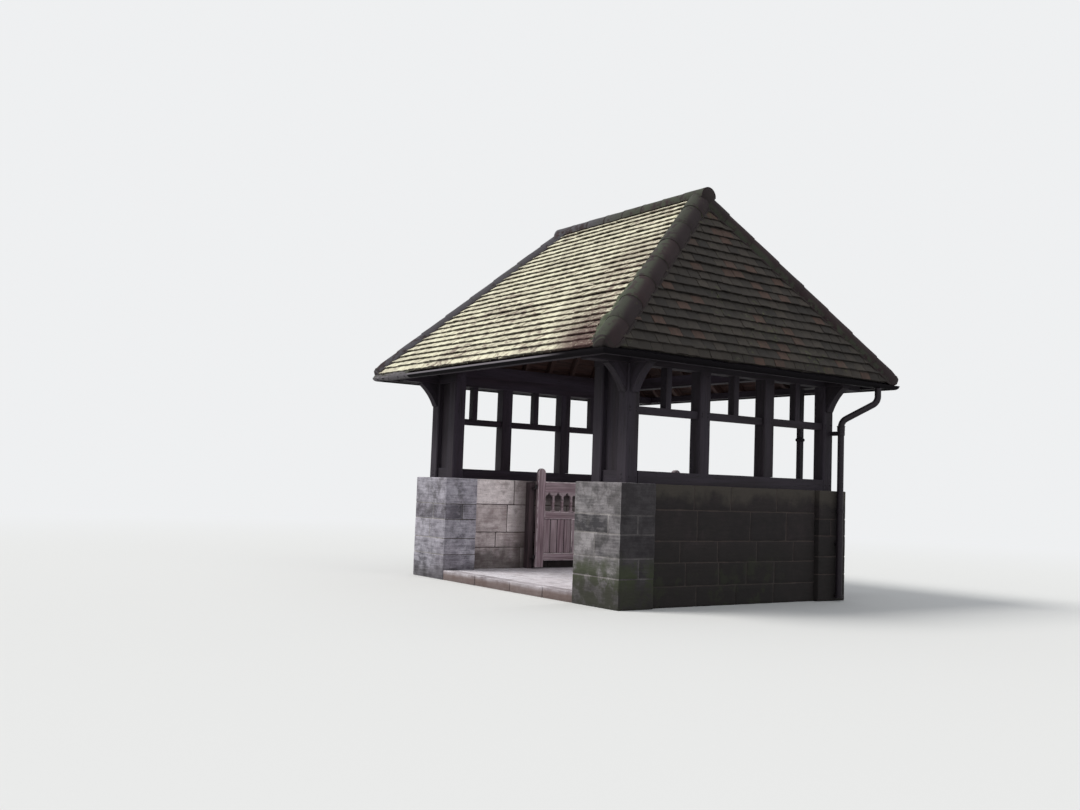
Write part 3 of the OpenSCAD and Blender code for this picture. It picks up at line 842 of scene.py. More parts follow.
@dataclass(frozen=True)
class StoneFinish:
    """Weathered sandstone."""

    name: str
    pale: Colour
    dark: Colour
    stain: Colour
    soot: float = 0.5
    algae: float = 0.5
    damp_top: float = 0.3
    dampness: float = 0.6
    ragged: float = 0.35
    fade: float = 0.3
    painted_gate_shade: float = 0.0
    # side: painted shade on faces turned to +X.
    side: float = 0.0
    top: float = 0.0
    greening: float = 0.66
    grime: Colour = paint(56, 53, 51)
    earth: Colour = paint(46, 43, 39)

    def material(self) -> bpy.types.Material:
        """Builds the material."""
        material, g, shader = begin(self.name, 0.9)
        at = g.coordinates()
        mottle = g.effect(Effect.MOTTLE, Vector=at, Scale=1.0)
        tone = g.value_of("tone")
        tooling = g.step(g.noise(g.stretched(at, (5.0, 5.0, 46.0)), 1.0, 4, 0.6), 0.3, 0.7)
        spread = g.times(g.minus(mottle["Middle"], 0.4), 0.42)
        spread = g.plus(spread, g.times(g.minus(tooling, 0.5), 0.36))
        shade = g.plus(g.times(tone, 0.92), spread, clamp=True)
        colour = g.mix(shade, self.pale, self.dark)
        colour = g.coat(colour, self.stain, mottle["Broad"], 0.4)
        black = g.growth(at, self.soot, 5.0)
        colour = g.coat(colour, self.grime, black, 0.45)
        spots = g.growth(at, 0.24, 24.0)
        colour = g.coat(colour, self.pale, spots, 0.4)
        speckle = g.times(g.minus(mottle["Fine"], 0.5), 0.6, clamp=True)
        colour = g.mix(speckle, colour, self.grime)
        worn = g.effect(Effect.WEAR, Vector=at, Amount=0.3)["Mask"]
        colour = g.mix(worn, colour, self.pale)
        # Painted shade: the inner wall behind the open gate leaf is darkened, as the shadow that falls there.
        if self.painted_gate_shade:
            y = g.split(at)[1]
            behind = g.times(g.step(y, -0.8, -0.42), g.step(y, 1.4, 1.0))
            colour = g.coat(colour, paint(64, 54, 54), behind, self.painted_gate_shade)
        # Painted shade: faces turned to +X are darkened, as the shaded side of the piers and their joints.
        if self.side:
            face = g.split(g.coordinates("Normal"))[0]
            colour = g.coat(colour, paint(30, 24, 29), g.step(face, 0.5, 0.85), self.side)
        if self.top:
            below = g.effect(Effect.DAMP, Vector=at, Top=1.24, Ragged=0.5, Fade=0.16)["Mask"]
            colour = g.coat(colour, paint(82, 76, 68), g.minus(1.0, below), self.top)
        green = g.effect(Effect.DAMP, Vector=at, Top=0.6, Ragged=0.7)["Mask"]
        patch = g.growth(at, self.algae, 5.0)
        colour = g.coat(colour, paint(60, 67, 42), g.times(green, patch), self.greening)
        damp = g.effect(Effect.DAMP, Vector=at, Top=self.damp_top, Ragged=self.ragged, Fade=self.fade)["Mask"]
        colour = g.coat(colour, self.earth, damp, self.dampness)
        g.feed(shader.inputs["Base Color"], colour)
        bump(g, shader, g.plus(mottle["Height"], g.times(tooling, 0.4)), 0.6, 0.006)
        return material


@dataclass(frozen=True)
class OakFinish:
    """Old oak, dark or silvered."""

    name: str
    deep: Colour
    pale: Colour
    silver: Colour
    silvering: float = 0.4
    wear_and_sheen: float = 0.5
    dust: float = 0.0

    def material(self) -> bpy.types.Material:
        """Builds the material."""
        material, g, shader = begin(self.name, 0.78)
        at = g.coordinates()
        along = g.node("ShaderNodeAttribute", {"attribute_name": "grain"}).outputs["Vector"]
        grain = g.effect(Effect.GRAIN, Vector=along)
        tone = g.value_of("tone")
        colour = g.mix(grain["Figure"], self.deep, self.pale)
        colour = g.coat(colour, g.mix(0.5, self.deep, colour), tone, 0.5)
        silver = g.times(grain["Broad"], self.silvering)
        colour = g.mix(silver, colour, self.silver)
        # Pale arrises: wear, and on the gate near-white as painted highlight.
        worn = g.effect(Effect.WEAR, Vector=at, Amount=self.wear_and_sheen)["Mask"]
        colour = g.mix(worn, colour, self.silver)
        if self.dust:
            up = g.split(g.node("ShaderNodeNewGeometry").outputs["Normal"])[2]
            lying = g.times(g.step(up, 0.6, 0.95), self.dust)
            colour = g.mix(lying, colour, self.silver)
        dirt = g.times(g.value_of("edge"), -1.0, clamp=True)
        colour = g.mix(g.math("MAXIMUM", grain["Cracks"], dirt), colour, paint(20, 14, 16))
        g.feed(shader.inputs["Base Color"], colour)
        bump(g, shader, grain["Height"], 0.5, 0.004)
        return material


@dataclass(frozen=True)
class TileFinish:
    """Old clay tiles under lichen and litter."""

    name: str
    clay: Colour
    dark: Colour
    crust: Colour
    crusted: float
    moss: float = 0.3
    litter: float = 0.0
    red: float = 0.1
    crust_and_side_shade: float = 0.0

    def material(self) -> bpy.types.Material:
        """Builds the material."""
        material, g, shader = begin(self.name, 0.92)
        at = g.coordinates()
        mottle = g.effect(Effect.MOTTLE, Vector=at, Scale=1.4)
        tone = g.value_of("tone")
        colour = g.mix(tone, self.dark, self.clay)
        red = g.times(g.step(tone, 0.86, 0.93), self.red)
        colour = g.mix(red, colour, paint(128, 66, 48))
        colour = g.coat(colour, self.dark, mottle["Middle"], 0.4)
        crust = g.growth(at, self.crusted, 10.0)
        amount = g.times(crust, g.plus(0.62, g.times(tone, 0.38)))
        crust_colour = self.crust
        # Painted shade: lichen keeps to faces turned to the front, so the other side of the covers shows the dark
        # clay, as their shaded side; toward the left the crust turns grey.
        if self.crust_and_side_shade:
            face = g.split(g.coordinates("Normal"))[1]
            amount = g.times(amount, g.minus(1.0, g.times(g.step(face, -0.5, -0.12), self.crust_and_side_shade)))
            crust_colour = g.mix(g.step(g.split(at)[0], 0.4, -1.0), self.crust, paint(78, 76, 82))
        colour = g.mix(amount, colour, crust_colour)
        fine = g.growth(at, 0.45, 60.0)
        colour = g.coat(colour, self.dark, fine, 0.3)
        moss = g.growth(at, self.moss, 18.0)
        colour = g.coat(colour, paint(74, 80, 46), moss, 0.75)
        # Painted shade with some dirt: faces marked by the edge value, the tails, undersides and the strip under
        # each next tail, are drawn dark brown.
        under = g.times(g.value_of("edge"), 0.86)
        colour = g.mix(under, colour, paint(40, 33, 29))
        if self.litter:
            x, y, _ = g.split(at)
            beside = g.minus(g.times(y, -0.468), g.minus(x, 1.37))
            near = g.times(g.step(beside, 1.35, 0.25), g.step(g.times(y, -1.0), 0.5, 1.5))
            dust = g.growth(at, 0.72, 16.0)
            colour = g.coat(colour, paint(112, 90, 84), g.times(near, dust), self.litter * 0.75)
            bits = g.growth(at, 0.62, 52.0)
            colour = g.coat(colour, paint(74, 44, 44), g.times(near, bits), self.litter)
        g.feed(shader.inputs["Base Color"], colour)
        bump(g, shader, mottle["Height"], 0.5, 0.004)
        return material


@dataclass(frozen=True)
class IronFinish:
    """Painted or blackened iron with a little rust."""

    name: str
    coat: Colour
    rust: float = 0.3
    roughness: float = 0.55
    gloss: float = 0.5
    rim: float = 0.0
    rim_light_and_lichen: Colour = (0.0, 0.0, 0.0)
    green_left: float = 0.0
    growth: Colour = (0.0, 0.0, 0.0)

    def material(self) -> bpy.types.Material:
        """Builds the material."""
        material, g, shader = begin(self.name, self.roughness, 0.25 if self.gloss > 0.3 else 0.0)
        shader.inputs["Specular IOR Level"].default_value = self.gloss
        at = g.coordinates()
        mottle = g.effect(Effect.MOTTLE, Vector=at, Scale=4.0)
        colour = g.mix(g.times(mottle["Middle"], 0.4), self.coat, tuple(c * 0.5 for c in self.coat))
        rust = g.growth(at, self.rust, 22.0)
        colour = g.coat(colour, paint(92, 62, 48), rust, 0.7)
        # Painted highlight: above the rim height the gutters are drawn pale, as the light on their upper part with
        # some lichen, fading out towards +X; below it the near-black coat stands in for the shade under them.
        if self.rim:
            x, y, z = g.split(at)
            rim_light_band = g.times(g.step(z, self.rim - 0.005, self.rim + 0.001), g.step(x, 1.9, 1.2))
            colour = g.mix(rim_light_band, colour, self.rim_light_and_lichen)
            end = g.times(g.step(x, self.green_left, self.green_left - 0.03), g.step(y, -2.2, -2.23))
            moss = g.growth(at, 0.8, 16.0)
            colour = g.coat(colour, self.growth, end, moss)
        g.feed(shader.inputs["Base Color"], colour)
        g.feed(shader.inputs["Roughness"], g.plus(self.roughness - 0.1, g.times(mottle["Fine"], 0.25)))
        bump(g, shader, mottle["Height"], 0.3, 0.002)
        return material


@dataclass(frozen=True)
class MossFinish:
    """Cushions of moss and dirt."""

    name: str
    green: Colour
    grey: Colour

    def material(self) -> bpy.types.Material:
        """Builds the material."""
        material, g, shader = begin(self.name, 0.95)
        at = g.coordinates()
        mottle = g.effect(Effect.MOTTLE, Vector=at, Scale=5.0)
        colour = g.mix(mottle["Broad"], self.green, self.grey)
        colour = g.coat(colour, self.green, mottle["Middle"], 0.5)
        colour = g.coat(colour, tuple(c * 0.3 for c in self.grey), mottle["Fine"], 0.5)
        g.feed(shader.inputs["Base Color"], colour)
        bump(g, shader, mottle["Height"], 0.9, 0.01)
        return material


# Stonework


@dataclass(frozen=True)
class Course:
    """One course of a pier: its height, where upright joints divide it, and its stones' shades."""

    height: float
    across: tuple[float, ...]
    deep: tuple[float, ...]
    tones: tuple[float, ...]


@dataclass
class Stonework:
    """Piers, side walls, their top course and the paved floor."""

    joint: float = 0.0085
    sunk: float = 0.0042
    arris: float = 0.009
    uneven: float = 0.0024
    cell: float = 0.05
    wall_rows: tuple[float, ...] = (0.22, 0.25, 0.23, 0.33)
    inner_rows: tuple[float, ...] = (0.4, 0.2, 0.37, 0.33)
    row_lengths: tuple[float, ...] = (0.62, 0.47, 0.55, 0.7)
    kerb: float = 0.16
    flag: float = 0.55
    near_pier: tuple[Course, ...] = (
        Course(0.314, (), (), (0.58,)),
        Course(0.208, (), (0.55,), (0.36, 0.6)),
        Course(0.245, (0.46,), (), (0.14, 0.72)),
        Course(0.197, (0.74,), (0.5,), (1.0, 0.9, 0.6, 0.5)),
        Course(0.336, (), (), (0.52,)),
    )
    far_pier: tuple[Course, ...] = (
        Course(0.314, (), (), (0.62,)),
        Course(0.208, (), (), (0.5,)),
        Course(0.245, (0.5,), (), (0.3, 0.66)),
        Course(0.197, (0.4,), (0.55,), (0.85, 0.7, 1.0, 0.6)),
        Course(0.336, (), (), (0.45,)),
    )
    stones: StoneFinish = StoneFinish(
        "weathered sandstone", paint(168, 163, 165), paint(54, 53, 57), paint(112, 106, 109), soot=0.5, algae=0.66,
        damp_top=0.42, dampness=0.72, side=0.8, greening=0.86,
    )
    far_stones: StoneFinish = StoneFinish(
        "grey sandstone", paint(208, 204, 215), paint(70, 68, 76), paint(156, 149, 160), soot=0.46, algae=0.2
    )
    # The passage faces of the side walls: buff stone drawn paler, partly as painted light in the passage, with a
    # painted shadow behind the gate.
    warm: StoneFinish = StoneFinish(
        "lit_buff sandstone", paint(246, 236, 236), paint(158, 144, 144), paint(206, 190, 188), soot=0.5, algae=0.1,
        damp_top=0.52, dampness=0.66, ragged=0.9, fade=0.26, painted_gate_shade=0.78, grime=paint(96, 82, 80),
    )
    # Painted shade: the outer face of the right wall and the back right pier are coloured dark all over, as if in
    # deep shade, with soot patches and a paler ragged band along the top.
    shaded: StoneFinish = StoneFinish(
        "soot_and_shade sandstone", paint(54, 45, 46), paint(21, 16, 19), paint(31, 24, 27), soot=0.8, algae=0.4,
        damp_top=0.8, dampness=0.62, top=0.6, grime=paint(30, 27, 26), earth=paint(30, 26, 24),
    )
    mortar: StoneFinish = StoneFinish(
        "lime mortar", paint(188, 183, 181), paint(116, 110, 109), paint(134, 128, 127), soot=0.6, algae=0.3,
        side=0.7,
    )
    # Dark mortar for the wall cores and the back right pier: its own dark colour, darkened further as painted shade
    # to go with the shaded stone.
    dark_mortar: StoneFinish = StoneFinish(
        "soot_and_shade mortar", paint(84, 72, 68), paint(48, 41, 40), paint(58, 49, 47), soot=0.6, algae=0.2
    )
    flags: StoneFinish = StoneFinish(
        "worn paving", paint(232, 228, 234), paint(134, 125, 130), paint(204, 194, 199), soot=0.26, algae=0.1,
        damp_top=0.128, dampness=0.8, ragged=0.05, fade=0.07, grime=paint(124, 108, 104), earth=paint(104, 84, 76),
    )
    joints: Mesh = field(default_factory=Mesh)
    dark_joints: Mesh = field(default_factory=Mesh)

    def build(self) -> None:
        """Builds all the stonework."""
        mortar, warm, shaded, near = (f.material() for f in (self.mortar, self.warm, self.shaded, self.stones))
        far = self.far_stones.material()
        piers = {
            "pier_front_right": (self.near_pier, near, 11), "pier_front_left": (self.far_pier, far, 23),
            "pier_back_left": (self.near_pier, far, 37), "pier_back_right": (self.far_pier, shaded, 41),
        }
        for node, (courses, finish, seed) in piers.items():
            mesh = self.pier(node, courses, seed)
            place(mesh, node.replace("pier", "stone_pier"), Slot.STONE, finish, node)
        for node, inner, outer in (("wall_left", warm, far), ("wall_right", warm, shaded)):
            self.wall(node, inner, outer)
        place(self.joints, "mortar_beds", Slot.STONE, mortar)
        place(self.dark_joints, "wall_mortar_beds", Slot.STONE, self.dark_mortar.material())
        place(self.paving(), "floor_flags", Slot.PAVING, self.flags.material(), "floor_slab")

    def stone(self, mesh: Mesh, low: np.ndarray, high: np.ndarray, tone: float, seed: int) -> None:
        """Adds one stone, smaller than its place by half a joint all round.

        Args:
            mesh: where it goes.
            low, high: its place, up to the joints' middles.
            tone: its shade.
            seed: picks its unevenness.
        """
        cells = np.maximum(1, np.round((high - low) / self.cell)).astype(int)
        mesh.block(
            low, high, radius=self.arris, cells=cells, tone=tone, rough=self.uneven, size=0.09, seed=seed
        )

    def pier(self, node: str, courses: Sequence[Course], seed: int) -> Mesh:
        """Lays a pier course by course.

        Args:
            node: its CAD node.
            courses: its courses, from the foot.
            seed: picks the stones.

        Returns:
            Its stones.
        """
        low, high = node_box(node)
        rng = np.random.default_rng(seed)
        mesh, z = Mesh(), low[2]
        total = sum(c.height for c in courses)
        half = self.joint / 2
        corner, across = low[:2], (high - low)[:2]
        for number, course in enumerate(courses):
            top = z + course.height * (high[2] - low[2]) / total
            xs = [0.0, *course.across, 1.0]
            ys = [0.0, *course.deep, 1.0]
            if low[0] < 0:
                xs = [1 - x for x in xs[::-1]]
            if low[1] >= 0:
                ys = [1 - y for y in ys[::-1]]
            count = 0
            for a in range(len(xs) - 1):
                for b in range(len(ys) - 1):
                    start = np.array([*(corner + (xs[a], ys[b]) * across), z])
                    end = np.array([*(corner + (xs[a + 1], ys[b + 1]) * across), top])
                    start += [half * (a > 0), half * (b > 0), half * (number > 0)]
                    end -= [half * (a < len(xs) - 2), half * (b < len(ys) - 2), half * (number < len(courses) - 1)]
                    tone = course.tones[count % len(course.tones)] + rng.normal(0, 0.05)
                    self.stone(mesh, start, end, float(np.clip(tone, 0, 1)), seed * 50 + number * 9 + count)
                    count += 1
            z = top
        self.core(self.dark_joints if node == "pier_back_right" else self.joints, low, high, seed)
        return mesh

    def core(self, mesh: Mesh, low: np.ndarray, high: np.ndarray, seed: int) -> None:
        """Adds the mortar that shows in the joints of a piece of masonry.

        Args:
            mesh: where it goes.
            low, high: the masonry's corners.
            seed: picks its unevenness.
        """
        cells = np.maximum(2, np.round((high - low) / 0.12)).astype(int)
        mesh.block(
            low + self.sunk, high - self.sunk, radius=0.004, cells=cells, tone=0.4, rough=0.0012, size=0.05,
            seed=seed,
        )

    def wall(self, node: str, inner: bpy.types.Material, outer: bpy.types.Material) -> None:
        """Lays a side wall in two skins, with its top course.

        Args:
            node: its CAD node.
            inner: finish of the skin towards the passage.
            outer: finish of the other skin.
        """
        low, high = node_box(node)
        cap = next(b for b in solid_boxes("copings") if (b[0][0] < 0) == (low[0] < 0))
        outer_rows = [h * (high[2] - low[2]) / sum(self.wall_rows) for h in self.wall_rows]
        outer_rows.append(cap[1][2] - cap[0][2])
        inner_rows = [h * (cap[1][2] - low[2]) / sum(self.inner_rows) for h in self.inner_rows]
        side = node.rsplit("_", 1)[1]
        middle = (low[0] + high[0]) / 2
        half = self.joint / 2
        for skin, finish in (("inner", inner), ("outer", outer)):
            mesh = Mesh()
            seed = 100 + 20 * (side == "left") + 7 * (skin == "outer")
            rng = np.random.default_rng(seed)
            near_zero = (skin == "inner") == (low[0] > 0)
            x0, x1 = (low[0], middle) if near_zero else (middle, high[0])
            z = low[2]
            rows = inner_rows if skin == "inner" else outer_rows
            for number, rise in enumerate(rows):
                joints = self.row_joints(low[1], high[1], self.row_lengths[number % 4], rng)
                for a, b in zip(joints[:-1], joints[1:]):
                    start = np.array([x0, a + half, z + half * (number > 0)])
                    end = np.array([x1, b - half, z + rise - half * (number < len(rows) - 1)])
                    tone = float(np.clip(rng.normal(0.42, 0.24), 0, 1))
                    self.stone(mesh, start, end, tone, int(rng.integers(1, 99999)))
                z += rise
            nodes = (node,) if skin == "inner" else ("copings",)
            place(mesh, f"stone_{node}_{skin}", Slot.STONE, finish, *nodes)
        self.core(self.dark_joints, low, np.array([high[0], high[1], cap[1][2]]), 3)

    def row_joints(self, start: float, end: float, length: float, rng: np.random.Generator) -> list[float]:
        """Upright joints along one course.

        Args:
            start, end: the course's ends.
            length: usual length of a stone.
            rng: the source of chance.

        Returns:
            The joints, with both ends.
        """
        count = max(2, round((end - start) / length))
        parts = rng.uniform(0.7, 1.35, count)
        return [start, *(start + (end - start) * np.cumsum(parts) / parts.sum())[:-1], end]

    def paving(self) -> Mesh:
        """Lays kerbs at both ends and flags between them.

        Returns:
            The paving.
        """
        mesh = Mesh()
        low, high = node_box("floor_slab")
        rng = np.random.default_rng(5)
        pass_x = -node_box("pier_front_left")[1][0]
        pier_y = -node_box("pier_front_left")[1][1]
        for side in (-1, 1):
            xs = self.row_joints(-pass_x, pass_x, 0.62, rng)
            near, far = sorted((side * high[1], side * (high[1] - self.kerb)))
            for a, b in zip(xs[:-1], xs[1:]):
                self.flagstone(mesh, (a, near, 0.0), (b, far, high[2]), float(rng.uniform(0.6, 1.0)), rng)
        ys = [low[1] + self.kerb, *self.row_joints(-pier_y, pier_y, self.flag, rng), high[1] - self.kerb]
        for a, b in zip(ys[:-1], ys[1:]):
            reach = high[0] if a >= -pier_y and b <= pier_y else pass_x
            xs = self.row_joints(-reach, reach, 0.66, rng)
            for c, d in zip(xs[:-1], xs[1:]):
                self.flagstone(mesh, (c, a, high[2] - 0.06), (d, b, high[2]), float(rng.uniform(0.0, 0.4)), rng)
        self.joints.block(
            (-pass_x + 0.004, low[1] + 0.004, 0.0), (pass_x - 0.004, high[1] - 0.004, high[2] - 0.005),
            radius=0.004, cells=(12, 14, 1), tone=0.6, rough=0.001, seed=8,
        )
        self.joints.block(
            (low[0], -pier_y, 0.0), (high[0], pier_y, high[2] - 0.006), radius=0.004, cells=(12, 14, 1), tone=0.6,
            rough=0.001, seed=9,
        )
        return mesh

    def flagstone(
        self, mesh: Mesh, low: Sequence[float], high: Sequence[float], tone: float, rng: np.random.Generator
    ) -> None:
        """Adds one flag or kerb stone.

        Args:
            mesh: where it goes.
            low, high: its place, up to the joints' middles.
            tone: its shade.
            rng: the source of chance.
        """
        gap = np.array([0.005, 0.005, 0.0])
        start, end = np.array(low) + gap, np.array(high) - gap
        cells = np.maximum(1, np.round((end - start) / 0.09)).astype(int)
        mesh.block(
            start, end, radius=0.008, cells=cells, tone=tone, rough=0.0022, size=0.2,
            seed=int(rng.integers(1, 9999)),
        )


# Oak frame


@dataclass
class OakFrame:
    """Posts, rails, plates, beams, brackets and rafters, with the pegs that hold them."""

    arris: float = 0.005
    cell: float = 0.3
    uneven: float = 0.0022
    peg: float = 0.011
    proud: float = 0.006
    corner_y: float = 1.62
    outer_x: float = 2.0
    timbers: tuple[str, ...] = (
        "sill_beams", "pier_posts", "side_posts", "pier_rails", "front_panels", "transoms", "mullions",
        "wall_plates", "head_rails", "tie_beams", "upper_plates", "end_brackets", "side_brackets",
        "eaves_plates", "eaves_plates_side", "main_rafters", "end_rafters", "hip_rafters", "ridge_beam",
        "back_uprights",
    )
    finish: OakFinish = OakFinish(
        "frame oak", paint(19, 12, 19), paint(40, 29, 39), paint(68, 61, 76), silvering=0.28, wear_and_sheen=0.5, dust=0.4
    )
    inside: OakFinish = OakFinish(
        "roof oak", paint(42, 28, 27), paint(80, 56, 50), paint(98, 84, 84), silvering=0.2, wear_and_sheen=0.3
    )

    def build(self) -> bpy.types.Material:
        """Builds the timbers.

        Returns:
            The finish of the timbers inside the roof, for the boards.
        """
        outside, inside = self.finish.material(), self.inside.material()
        for number, node in enumerate(self.timbers):
            mesh = Mesh()
            mesh.carve(node, width=self.arris, cell=self.cell, rough=self.uneven, seed=number + 1)
            roof = "rafter" in node or node == "ridge_beam"
            place(mesh, f"oak_{node}", Slot.FRAME_OAK, inside if roof else outside, node)
        place(self.pegs(), "oak_pegs", Slot.FRAME_OAK, outside)
        return inside

    def pegs(self) -> Mesh:
        """Pegs at the ends of rails, transoms and posts.

        Returns:
            The pegs.
        """
        mesh = Mesh()
        shape = [
            (0.0, -0.01), (self.peg, -0.01), (self.peg * 0.9, self.proud * 0.7), (self.peg * 0.5, self.proud),
            (0.0, self.proud),
        ]
        plate = node_box("wall_plates")[0][2]
        sill = node_box("sill_beams")
        transom = node_box("transoms")
        for low, high in solid_boxes("side_posts") + solid_boxes("pier_posts"):
            sign = -1.0 if low[0] < 0 else 1.0
            face = high[0] if sign > 0 else low[0]
            if abs(face) < self.outer_x:
                continue
            middle = (low[1] + high[1]) / 2
            heights = [plate - 0.05, transom[0][2] + 0.025, transom[1][2] - 0.02]
            corner = min(abs(abs(low[1]) - self.corner_y), abs(abs(high[1]) - self.corner_y)) < 0.03
            if corner:
                heights.append((sill[0][2] + sill[1][2]) / 2)
            for z in heights:
                for side in (-0.045, 0.045):
                    at = frame_matrix((face, middle + side, z), UP, (sign, 0, 0))
                    mesh.turned(shape, at, tone=0.7, sides=10)
            if corner:
                out = math.copysign(1.0, middle)
                y = high[1] if out > 0 else low[1]
                for z in (plate - 0.05, sill[0][2] + 0.04, sill[1][2] - 0.04):
                    at = frame_matrix(((low[0] + high[0]) / 2, y, z), UP, (0, out, 0))
                    mesh.turned(shape, at, tone=0.7, sides=10)
        return mesh


# Roof


@dataclass
class Slope:
    """One tiled slope, described in its own axes: U along the eave, V up the slope, N out of it."""

    name: str
    eave_half: float
    top_half: float
    run: float
    rise: float
    outward: tuple[float, float]
    eave_z: float

    def __post_init__(self) -> None:
        """Works out the slope's axes."""
        ox, oy = self.outward
        self.length = math.hypot(self.run, self.rise)
        self.inward = self.run / self.length
        self.climb = self.rise / self.length
        up = np.array([-ox * self.inward, -oy * self.inward, self.climb])
        normal = np.array([ox * self.climb, oy * self.climb, self.inward])
        self.matrix = np.eye(4)
        self.matrix[:3, 0] = np.cross(up, normal)
        self.matrix[:3, 1] = up
        self.matrix[:3, 2] = normal

    def at(self, edge: float) -> "Slope":
        """Puts the slope's origin on its eave, at that distance from the building's middle."""
        ox, oy = self.outward
        self.matrix[:3, 3] = (ox * edge, oy * edge, self.eave_z)
        return self

    def half_width(self, v: np.ndarray | float, n: np.ndarray | float) -> np.ndarray | float:
        """How far the slope reaches to either side, up to the upright planes under the hips.

        Args:
            v: distance up the slope.
            n: distance out of the tile plane.

        Returns:
            The reach.
        """
        rate = (self.eave_half - self.top_half) / self.run
        return self.top_half + rate * (self.run - v * self.inward + n * self.climb)

    def mitre(self, middle: float) -> Callable[[np.ndarray], np.ndarray]:
        """A change of local places that cuts both ends of a board along the hips.

        Args:
            middle: the board's reach to either side before the cut.

        Returns:
            The change.
        """
        def cut(places: np.ndarray) -> np.ndarray:
            """Moves the places of one board."""
            moved = places.copy()
            moved[:, 0] *= self.half_width(places[:, 1], places[:, 2]) / middle
            return moved

        return cut


